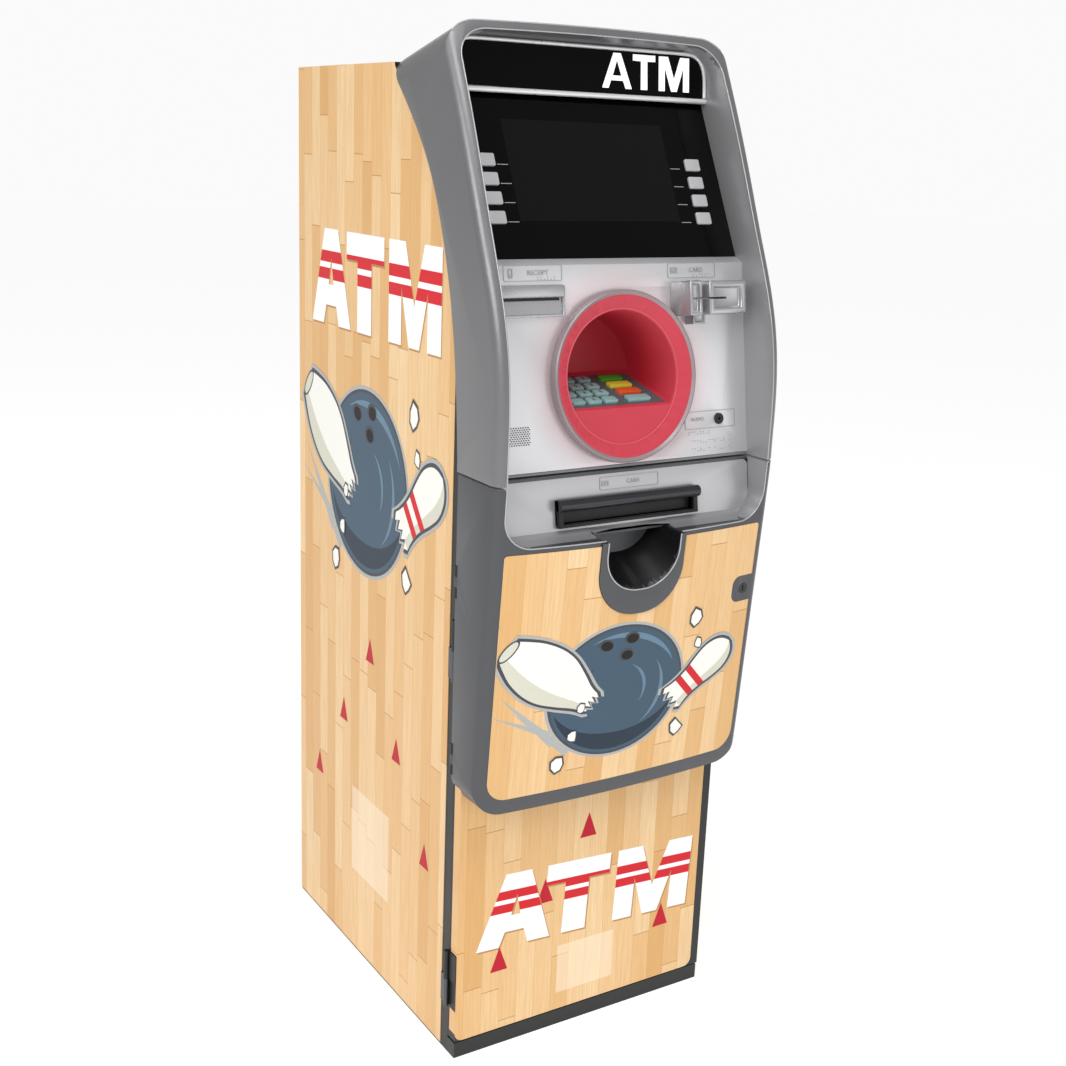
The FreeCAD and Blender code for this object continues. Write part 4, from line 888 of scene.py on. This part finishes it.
SIGN_LETTERS = (
    (0.00, ((0.00, 0.0), (0.17, 0.0), (0.235, 0.22), (0.565, 0.22), (0.63, 0.0), (0.80, 0.0), (0.50, 1.0),
            (0.30, 1.0)), ((0.28, 0.36), (0.52, 0.36), (0.40, 0.80))),
    (0.83, ((0.22, 0.0), (0.40, 0.0), (0.40, 0.82), (0.62, 0.82), (0.62, 1.0), (0.0, 1.0), (0.0, 0.82),
            (0.22, 0.82)), ()),
    (1.55, ((0.0, 0.0), (0.17, 0.0), (0.17, 0.68), (0.35, 0.0), (0.51, 0.0), (0.69, 0.68), (0.69, 0.0),
            (0.86, 0.0), (0.86, 1.0), (0.60, 1.0), (0.43, 0.36), (0.26, 1.0), (0.0, 1.0)), ()),
)
SIGN_WORD_WIDE = 134.0 / 2.41
SIGN_WORD_HIGH = 42.0
sign_up = Vector((0, 5.0, 55.0))
sign_ink = finish("sign_ink", ink(252, 252, 252), 0.35, tone=0.01, bump=0.0, emission=0.35)
sign_pieces = []
for start, outline, hole in SIGN_LETTERS:
    loops = [[((start + x) * SIGN_WORD_WIDE, y * SIGN_WORD_HIGH) for x, y in loop]
             for loop in (outline, hole) if loop]
    letter = tinted(cut_shape(loops, (1, 0, 0), sign_up, (28.0, -172.6, 1232.0), 0.5), sign_ink)
    thicken(letter, 0.4)
    sign_pieces.append(letter)
settle(join(sign_pieces), "sign_letters", None, "upper_fascia")


def bead(name, points, radius, material, body, closed=False, straight=False):
    """A rounded strip along a line of points, with smooth corners unless it is straight."""
    curve = bpy.data.curves.new(name, "CURVE")
    curve.dimensions = "3D"
    curve.bevel_depth = radius * mm
    curve.bevel_resolution = 3
    curve.resolution_u = 8
    curve.use_fill_caps = True
    spline = curve.splines.new("POLY" if straight else "NURBS")
    spline.points.add(len(points) - 1)
    for point, place in zip(spline.points, points):
        point.co = (*[value * mm for value in place], 1)
    spline.use_cyclic_u = closed
    if not straight:
        spline.order_u = 4
        spline.use_endpoint_u = not closed
    return settle(as_mesh(new_piece(name, curve)), name, material, body, 60.0)


bead("screen_top_bead", [(x, -174.2, 1222.0) for x in (-188.0, -60.0, 60.0, 188.0)], 3.4, bright_bead,
     "upper_fascia", straight=True)
half_arch = [(186.0, -174.5, 1226.0), (186.0, -173.5, 1240.0), (186.0, -172.0, 1262.0),
             (172.0, -170.5, 1278.5), (148.0, -170.2, 1279.0), (60.0, -170.2, 1279.0)]
arch = [(-x, y, z) for x, y, z in half_arch] + half_arch[::-1]
bead("sign_bead", arch, 2.4, bright_bead, "upper_fascia")

# Key leads
# Fine pale lines printed on the glass, one from each function key to the window of the display,
# a little below the middle of the key.
lead_ink = finish("lead_ink", ink(150, 150, 152), 0.4, tone=0.02, bump=0.0)
GLASS_TOP = 1218.0
GLASS_TOP_FRONT = -166.0
GLASS_RISE = (88.0, 186.0)
LEAD_SPANS = {"left": (-137.0, -122.0), "right": (116.0, 131.0)}
LEAD_HALF = 0.45
function_keys = ["function_key_%s_%d" % (side, index) for side in ("left", "right") for index in (1, 2, 3, 4)]
leads = []
for node in function_keys:
    low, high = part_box(node)
    height = (low.z + high.z) / 2 * 1000.0 - 3.0
    front = GLASS_TOP_FRONT - (GLASS_TOP - height) * GLASS_RISE[0] / GLASS_RISE[1]
    start, stop = LEAD_SPANS["left" if "left" in node else "right"]
    outline = [(start, -LEAD_HALF), (stop, -LEAD_HALF), (stop, LEAD_HALF), (start, LEAD_HALF)]
    lead = cut_shape([outline], (1, 0, 0), (0, *GLASS_RISE), (0.0, front, height), 0.12)
    thicken(lead)
    leads.append(lead)
settle(join(leads), "key_leads", lead_ink, "upper_fascia")

# Function keys
# Eight small silver plastic buttons with soft corners, four on each side of the display. They stand
# a little proud of the glass and press straight in.
key_silver = finish("key_silver", ink(186, 186, 188), 0.36, metallic=0.25, tone=0.05, grain=1800.0, bump=0.05)
for node in function_keys:
    rounded_copy(node, node + "_cap", key_silver, 0.7 * mm, node)

# Key pad hood
# A deep round hood of translucent red plastic, lit from inside, with a broad bevelled lip. A pale
# rounded collar seats it on the control panel.
PANEL_COS, PANEL_SIN = 0.98870, 0.14993
PANEL_OUT = Vector((0, -PANEL_COS, PANEL_SIN))
PANEL_UP = Vector((0, PANEL_SIN, PANEL_COS))
PANEL_FOOT = 782.0
PANEL_FOOT_FRONT = -304.0
PANEL_SLOPE = 37.0 / 244.0
HOOD_HEIGHT = 893.0
hood_plastic = finish("hood_plastic", ink(188, 60, 74), 0.42, tone=0.06, grain=1500.0, bump=0.05, shine=0.3,
                      emission=0.10)


def lit_hood_with_painted_shade():
    """Red plastic, pink at the lip and painted deep red inside the hood, as painted shade growing with depth.
    """
    material, tree, color, plain, place = copied_finish(hood_plastic, "lit_hood_with_painted_shade")
    inward = step(tree, "ShaderNodeVectorMath", place, (0.0, PANEL_COS, -PANEL_SIN), operation="DOT_PRODUCT")
    # The darkening with depth inside the hood is painted shade.
    depth = step(tree, "ShaderNodeMapRange", inward.outputs["Value"], -0.425, -0.33, 0.0, 1.0,
                 interpolation_type="SMOOTHSTEP")
    tree.links.new(mix(tree, depth.outputs[0], plain, ink(158, 12, 28)), color)
    return material


rounded_copy("keypad_surround", "keypad_hood", lit_hood_with_painted_shade(), 0.8 * mm, "upper_fascia")
# The lighter pink bead on the hood's lip is a painted highlight.
lip_painted_highlight = finish("lip_painted_highlight", ink(204, 84, 98), 0.35, tone=0.04, bump=0.02, shine=0.4)


def panel_place(across, height, out):
    """A place over the control panel: across, height above the floor, distance out from its face."""
    front = PANEL_FOOT_FRONT + (height - PANEL_FOOT) * PANEL_SLOPE
    return (Vector((across, front, height)) + PANEL_OUT * out) * mm


def spoke(index, count):
    """One of the even directions round the hood, in the plane of the panel."""
    turn = 2 * math.pi * index / count
    return Vector((math.cos(turn), 0, 0)) + PANEL_UP * math.sin(turn)


def from_shape(name, shape):
    """A piece from a shape built up face by face."""
    data = bpy.data.meshes.new(name)
    shape.to_mesh(data)
    shape.free()
    return new_piece(name, data)


collar_paint = finish("collar_paint", ink(150, 138, 141), 0.38, metallic=0.25, tone=0.04, bump=0.02)
COLLAR = ((104.6, -0.5), (104.4, 8.0), (103.2, 10.8), (101.6, 11.6), (97.0, 8.0))
collar = bmesh.new()
rings = []
for radius, out in COLLAR:
    centre = panel_place(0, HOOD_HEIGHT, out)
    rings.append([collar.verts.new(centre + spoke(index, 96) * radius * mm) for index in range(96)])
for outer, inner in zip(rings[:-1], rings[1:]):
    for index in range(96):
        collar.faces.new((outer[index - 1], outer[index], inner[index], inner[index - 1]))
collar_piece = from_shape("hood_collar", collar)
thicken(collar_piece, 1.2)
lip_middle = panel_place(0, HOOD_HEIGHT, 0.7) * 1000.0
lip_points = [tuple(lip_middle + spoke(index, 64) * 82.0) for index in range(64)]
bead("hood_lip", lip_points, 1.1, lip_painted_highlight, "upper_fascia", closed=True)
settle(collar_piece, "hood_collar", collar_paint, "upper_fascia", 50.0)

# Key pad
# A steel plate with sixteen metal keys, each free to go straight in. Ten of the grey ones carry a
# printed digit, and three of the keys beside them are green, yellow and orange.
pad_steel = finish("pad_steel", ink(84, 100, 104), 0.42, metallic=0.15, tone=0.08, grain=900.0, bump=0.05)
key_steel = finish("key_steel", ink(140, 184, 182), 0.38, metallic=0.1, tone=0.06, grain=900.0, bump=0.04)
key_green = finish("key_green", ink(70, 165, 40), 0.38, tone=0.05, bump=0.03)
key_yellow = finish("key_yellow", ink(214, 206, 60), 0.38, tone=0.05, bump=0.03)
key_orange = finish("key_orange", ink(218, 88, 40), 0.38, tone=0.05, bump=0.03)
coat_node(pad_steel, "keypad_body")
digit_ink = finish("digit_ink", ink(30, 34, 34), 0.5, tone=0.02, bump=0.0)
pad_rise = math.radians(13.6)
pad_up = Vector((0, math.cos(pad_rise), math.sin(pad_rise)))
pad_out = Vector((0, -math.sin(pad_rise), math.cos(pad_rise)))
DIGITS = ("123", "456", "789", " 0 ")


def key_top(node):
    """The middle of a key's top face."""
    points = [vertex.co for vertex in nodes[node].data.vertices]
    top = max(point.dot(pad_out) for point in points)
    face = [point for point in points if point.dot(pad_out) > top - 0.0002]
    return sum(face, Vector()) / len(face)


def mark(text, size, centre, right, up, lift, offset=0.0):
    """A printed character, centred at a place."""
    curve = bpy.data.curves.new("mark", "FONT")
    curve.body = text
    curve.size = size * mm
    curve.offset = offset * mm
    curve.align_x = "CENTER"
    curve.align_y = "CENTER"
    curve.resolution_u = 3
    piece = as_mesh(new_piece("mark", curve))
    stand(piece, right, up, centre, lift)
    thicken(piece, 0.12)
    return piece


for row_number, row_digits in enumerate(DIGITS, start=1):
    for column, text in enumerate(row_digits, start=1):
        node = "pin_key_row%d_col%d" % (row_number, column)
        rounded_copy(node, node + "_cap", key_steel, 1.0 * mm, node)
        if text != " ":
            digit = mark(text, 8.5, key_top(node), (1, 0, 0), pad_up, 0.08, 0.12)
            settle(digit, node + "_digit", digit_ink, node)
for node, material in (("pin_key_enter", key_green), ("pin_key_clear", key_yellow),
                       ("pin_key_cancel", key_orange), ("pin_key_blank", key_steel)):
    rounded_copy(node, node + "_cap", material, 1.0 * mm, node)

# Card reader and receipt slot
# Satin silver mouldings fixed through the control panel. The card reader has two raised lobes with
# a web and a tab between them and a dark throat behind, and the receipt slot is a framed mouth.
def panel_block(left, right, low, high, back, front):
    """A plain block over the control panel, square to it."""
    bpy.ops.object.select_all(action="DESELECT")
    bpy.ops.mesh.primitive_cube_add(size=1.0)
    piece = bpy.context.object
    size = Matrix.Diagonal(((right - left) * mm, (high - low) * mm / PANEL_COS, (front - back) * mm, 1))
    centre = panel_place((left + right) / 2, (low + high) / 2, (back + front) / 2)
    piece.matrix_world = Matrix.Translation(centre) @ \
        Matrix((Vector((1, 0, 0)), PANEL_UP, PANEL_OUT)).transposed().to_4x4() @ size
    bpy.ops.object.transform_apply(location=True, rotation=True, scale=True)
    return piece


def sink(piece, rim, depth, wall):
    """A pocket in the face that looks out from the panel, inside a rim."""
    only(piece)
    bpy.ops.object.mode_set(mode="EDIT")
    bpy.ops.mesh.select_mode(type="FACE")
    bpy.ops.mesh.select_all(action="DESELECT")
    bpy.ops.object.mode_set(mode="OBJECT")
    for face in piece.data.polygons:
        face.select = face.normal.dot(PANEL_OUT) > 0.95
    bpy.ops.object.mode_set(mode="EDIT")
    bpy.ops.mesh.inset(thickness=rim * mm, depth=0.0)
    bpy.ops.mesh.inset(thickness=wall * mm, depth=-depth * mm)
    bpy.ops.object.mode_set(mode="OBJECT")


def soften(piece, width, segments=3):
    """Round every sharp edge."""
    shape_with(piece, "BEVEL", width=width * mm, segments=segments, limit_method="ANGLE",
               angle_limit=math.radians(30.0))


def cut_away(piece, cutter):
    """Take the cutter's shape out of a piece."""
    shape_with(piece, "BOOLEAN", operation="DIFFERENCE", solver="EXACT", object=cutter)
    bpy.data.objects.remove(cutter)


def slide_edge(piece, shift, chosen):
    """Move the corners that chosen accepts."""
    for vertex in piece.data.vertices:
        if chosen(vertex.co * 1000.0):
            vertex.co += Vector(shift) * mm


silver_trim = finish("silver_trim", ink(176, 176, 179), 0.28, metallic=0.7, tone=0.05,
                     grain=2200.0, bump=0.04)
# Near black. The receipt mouth, the shutter in the cash slot and the speaker dots take it as painted shade; on
# the card throat and the cash slot frame it is partly dark plastic and partly painted shade.
slot_black_and_painted_shade = finish("slot_black_and_painted_shade", ink(14, 14, 15), 0.5, tone=0.1, bump=0.02)
CARD_SLOT = (88.1, 144.1, 981.0, 983.4)


def reader_lobe(left, right, low, high, front, lean, rim, wall):
    """A raised lobe of the card reader, its left side leaning in, with a pocket in its face."""
    lobe = panel_block(left, right, low, high, 0.0, front)
    slide_edge(lobe, (lean, 0, 0),
               lambda at: at.x < left + 5.0 and (at * mm - panel_place(0, 982, 0)).dot(PANEL_OUT) > 0.015)
    sink(lobe, rim, 6.0, wall)
    soften(lobe, 2.2)
    return lobe


reader_left_lobe = reader_lobe(75.0, 102.0, 962.0, 1003.5, 31.0, 9.0, 3.6, 0.8)
reader_right_lobe = reader_lobe(110.0, 171.5, 962.5, 1003.0, 30.0, 4.0, 7.5, 1.0)
reader_web = panel_block(100.0, 112.0, 960.0, 1005.0, 0.0, 13.0)
soften(reader_web, 1.2)
reader_tab = panel_block(98.0, 117.0, 951.6, 966.0, 0.0, 16.0)
sink(reader_tab, 2.2, 3.0, 0.8)
soften(reader_tab, 1.0)
reader_whole = [reader_left_lobe, reader_right_lobe, reader_web, reader_tab]
for reader_piece in reader_whole[:3]:
    cut_away(reader_piece, panel_block(*CARD_SLOT, 6.0, 40.0))
card_reader = join(reader_whole)
settle(card_reader, "card_reader_bezel", silver_trim, "upper_fascia")
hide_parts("card_reader")
# The throat is near black, partly as painted shade in the card slot.
reader_throat = panel_block(82.0, 165.0, 969.0, 995.0, -76.0, 0.0)
soften(reader_throat, 1.5)
cut_away(reader_throat, panel_block(*CARD_SLOT, -70.0, 5.0))
settle(reader_throat, "card_reader_throat", slot_black_and_painted_shade, "upper_fascia")

receipt_frame = panel_block(-174.0, -82.0, 966.8, 1003.0, 0.0, 5.0)
sink(receipt_frame, 3.0, 3.6, 1.0)
soften(receipt_frame, 0.9)
receipt_bar = panel_block(-172.5, -82.6, 989.0, 1003.4, 0.0, 8.4)
soften(receipt_bar, 3.0, 4)
receipt_floor = panel_block(-170.0, -88.0, 968.5, 988.5, 0.5, 2.2)
slide_edge(receipt_floor, tuple(PANEL_OUT * 1.4), lambda at: at.z < 975.0)
# A thin near-black block in the receipt mouth, as painted shade.
receipt_mouth = panel_block(-169.0, -89.0, 985.6, 989.4, 1.0, 3.0)
receipt_mouth.data.materials.append(slot_black_and_painted_shade)
for receipt_piece in (receipt_frame, receipt_bar, receipt_floor):
    receipt_piece.data.materials.append(silver_trim)
receipt_slot = join([receipt_frame, receipt_bar, receipt_floor, receipt_mouth])
settle(receipt_slot, "receipt_slot", None, "upper_fascia")
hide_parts("receipt_bezel")

# Labels and speaker
# Thin raised outlines with a picture and a word mark each slot, rows of raised dots are for touch,
# and a patch of small near-black dots, painted shade, stands for the holes that let out the voice guide.
label_ink = finish("label_ink", ink(158, 158, 161), 0.4, metallic=0.3, tone=0.02, bump=0.0)


def rounded_loop(wide, high, radius, corner=6):
    """The outline of a rectangle with round corners, about its middle."""
    loop = []
    for index, (side, end) in enumerate(((1, 1), (-1, 1), (-1, -1), (1, -1))):
        for turn in range(corner + 1):
            angle = math.pi / 2 * (index + turn / corner)
            loop.append((side * (wide / 2 - radius) + radius * math.cos(angle),
                         end * (high / 2 - radius) + radius * math.sin(angle)))
    return loop


def framed_label(centre, wide, high, word, size, up, icon):
    """A raised outline round a small picture and a word."""
    parts = [cut_shape([rounded_loop(wide, high, 2.5), rounded_loop(wide - 1.2, high - 1.2, 2.0)],
                       (1, 0, 0), up, centre, 0.15)]
    for loops in icon:
        parts.append(cut_shape([[(x - wide / 2 + high / 2, y) for x, y in loop] for loop in loops],
                               (1, 0, 0), up, centre, 0.15))
    for part in parts:
        thicken(part, 0.25)
    place = Vector(centre) * mm + Vector((high * 0.35, 0, 0)) * mm
    parts.append(mark(word, size, place, (1, 0, 0), up, 0.15))
    return parts


def square(left, low, right, high):
    """A rectangle's outline."""
    return [(left, low), (right, low), (right, high), (left, high)]


def dots(places, right, up, radius, height):
    """Low round dots at places on a face."""
    shape = bmesh.new()
    right, up = Vector(right).normalized(), Vector(up).normalized()
    out = right.cross(up)
    for place in places:
        centre = Vector(place) * mm
        foot, crown = [], []
        for index in range(8):
            turn = math.pi * index / 4
            ray = right * math.cos(turn) + up * math.sin(turn)
            foot.append(shape.verts.new(centre + ray * radius * mm))
            crown.append(shape.verts.new(centre + ray * radius * 0.6 * mm + out * height * mm))
        for index in range(8):
            shape.faces.new((foot[index - 1], foot[index], crown[index], crown[index - 1]))
        shape.faces.new(crown)
        shape.faces.new(foot[::-1])
    return from_shape("dots", shape)


RECEIPT_ICON = (([(-3.0, -5.0), (-1.5, -6.0), (0.0, -5.0), (1.5, -6.0), (3.0, -5.0), (3.0, 5.0),
                  (-3.0, 5.0)], square(-1.6, -2.0, 1.6, 3.4)),)
CARD_ICON = ((square(-5.0, -3.4, 5.0, 3.4), square(-4.0, 0.6, 4.0, 2.0)),)
CASH_ICON = ((square(-5.0, -3.0, 5.0, 3.0), square(-3.8, -1.8, 3.8, 1.8)), (square(-1.4, -1.2, 1.4, 1.2),))


def flat_place(x, height):
    """A place on the control panel's face, as cut_shape takes it."""
    return tuple(panel_place(x, height, 0.55) * 1000.0)


label_parts = framed_label(flat_place(-122.5, 1017.5), 80.0, 19.0, "RECEIPT", 8.0, PANEL_UP, RECEIPT_ICON)
label_parts += framed_label(flat_place(109.0, 1017.5), 74.0, 19.0, "CARD", 8.0, PANEL_UP, CARD_ICON)
label_parts.append(mark("AUDIO", 6.5, Vector(flat_place(112.0, 834.0)) * mm, (1, 0, 0), PANEL_UP, 0.1))
jack_frame = cut_shape([rounded_loop(80.0, 22.0, 2.5), rounded_loop(78.8, 20.8, 2.0)],
                       (1, 0, 0), PANEL_UP, flat_place(132.0, 833.0), 0.15)
thicken(jack_frame, 0.25)
label_parts.append(jack_frame)
touch_rows = ((98.0, 816.0, 8), (98.0, 805.0, 15), (98.0, 795.0, 16), (-116.0, 1010.0, 8), (112.0, 1010.0, 6))
pick = random.Random(7)
touch_places = []
for start, height, count in touch_rows:
    for index in range(count):
        for rise in (0.0, 2.6):
            if pick.random() < 0.5:
                touch_places.append(flat_place(start + index * 4.6, height + rise))
touch_dots = dots(touch_places, (1, 0, 0), PANEL_UP, 0.65, 0.45)
label_parts.append(touch_dots)
settle(join(label_parts), "panel_labels", label_ink, "upper_fascia")

speaker_places = []
for row in range(9):
    for column in range(11):
        speaker_places.append(flat_place(-171.0 + column * 3.3 + (row % 2) * 1.65, 821.5 + row * 2.5))
speaker_holes = dots(speaker_places, (1, 0, 0), PANEL_UP, 0.85, 0.12)
settle(speaker_holes, "speaker_holes", slot_black_and_painted_shade, "upper_fascia")

cash_label = framed_label(flat_place(4.0, 767.0), 88.0, 16.0, "CASH", 7.5, PANEL_UP, CASH_ICON)
settle(join(cash_label), "cash_label", label_ink, "lower_fascia")

# Audio socket
# A black plastic moulding with a round socket for headphones, let into the control panel, and the
# speaker behind the patch of holes.
socket_black = finish("socket_black", ink(24, 24, 26), 0.45, tone=0.1, grain=1200.0, bump=0.08)
coat_node(socket_black, "audio_unit")

# Cash slot and scoop
# A near-black frame round the mouth of the slot, partly dark plastic and partly painted shade, with a
# gunmetal bar over it, fixed to the silver panel. The scoop below is a moulding in the lower fascia's
# grey, painted darker as shade; its inside is painted black as shade, and its bright edge is a painted
# highlight.
hood_gunmetal = finish("hood_gunmetal", ink(58, 59, 62), 0.24, metallic=0.6, tone=0.08,
                       grain=1200.0, bump=0.05)
# The scoop's black inside is painted shade.
scoop_painted_shade = finish("scoop_painted_shade", ink(16, 16, 18), 0.36, tone=0.08, grain=1200.0, bump=0.04)
rounded_copy("cash_tray", "cash_scoop", fascia_dark, 1.2 * mm, "lower_fascia", scoop_painted_shade,
             lambda place, normal: place.y > front_line(place.z) - 14.0 and normal.y > -0.75)
SCOOP_MIDDLE = 671.0
SCOOP_REACH = 57.0


def on_scoop(at):
    """True on the scoop's front edge, which is round below its middle and straight above."""
    return math.hypot(at.x, min(0.0, at.z - SCOOP_MIDDLE)) < SCOOP_REACH and at.y < -325.0 and at.z < MOUTH_LOW


# The scoop's slim bright edge is a painted highlight.
mouth_highlight_bead("cash_tray", "scoop_edge_highlight", "lower_fascia", on_scoop, -0.6)
slot_frame = panel_block(-104.0, 104.0, 719.8, 753.0, 0.0, 7.0)
cut_away(slot_frame, panel_block(-97.6, 97.6, 723.6, 742.0, -12.0, 20.0))
soften(slot_frame, 1.0)
settle(slot_frame, "cash_slot_frame", slot_black_and_painted_shade, "lower_fascia")
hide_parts("cash_slot_hood")
bar_points = [tuple(panel_place(x, 746.4, 7.0) * 1000.0) for x in (-104.0, -30.0, 30.0, 104.0)]
bead("cash_slot_bar", bar_points, 7.4, hood_gunmetal, "lower_fascia", straight=True)

# Cove under the cash slot
# A grey moulding in three parts that turns the cash panel forward into the bottom of the recess. Its
# middle part is scalloped over the scoop for fingers.
COVE = ((-311.0, 723.0), (-313.6, 717.0), (-317.5, 712.4), (-323.5, 709.6), (-334.0, 708.2))
COVE_END = 186.0
COVE_MIDDLE = 58.0


def cove_piece(name, sections):
    """A thin moulding drawn through its sections, each a line of points."""
    shape = bmesh.new()
    rows = [[shape.verts.new(Vector(point) * mm) for point in section] for section in sections]
    for first, second in zip(rows[:-1], rows[1:]):
        for index in range(len(first) - 1):
            shape.faces.new((first[index], first[index + 1], second[index + 1], second[index]))
    cove = from_shape(name, shape)
    thicken(cove, 0.8)
    # The cove takes the recess's paler grey, which is painted light.
    settle(cove, name, recess_grey_painted_light, "lower_fascia", 60.0)


cove_piece("cove_left", [[(x, y, z) for y, z in COVE] for x in (-COVE_END, -COVE_MIDDLE)])
cove_piece("cove_right", [[(x, y, z) for y, z in COVE] for x in (COVE_MIDDLE, COVE_END)])
scallop = []
for index in range(17):
    x = COVE_MIDDLE * (index / 8 - 1)
    reach = -316.5 - 9.0 * (abs(x) / COVE_MIDDLE) ** 3
    scallop.append([(x, -311.0, 723.0), (x, -313.6, 717.0), (x, -315.2, 714.0), (x, reach, 712.6)])
cove_piece("cove_middle", scallop)

# Shutter, lock, dial and handle
# The shutter behind the slot is a plate that slides, painted near black as painted shade. The safe's
# dial and handle are bright plated castings, and the key lock in the fascia is gunmetal.
chrome_trim = finish("chrome_trim", ink(190, 190, 194), 0.16, metallic=1.0, tone=0.05, bump=0.01)
coat_node(slot_black_and_painted_shade, "cash_shutter")
coat_node(chrome_trim, "lock_dial", "door_handle")
coat_node(hood_gunmetal, "key_lock")
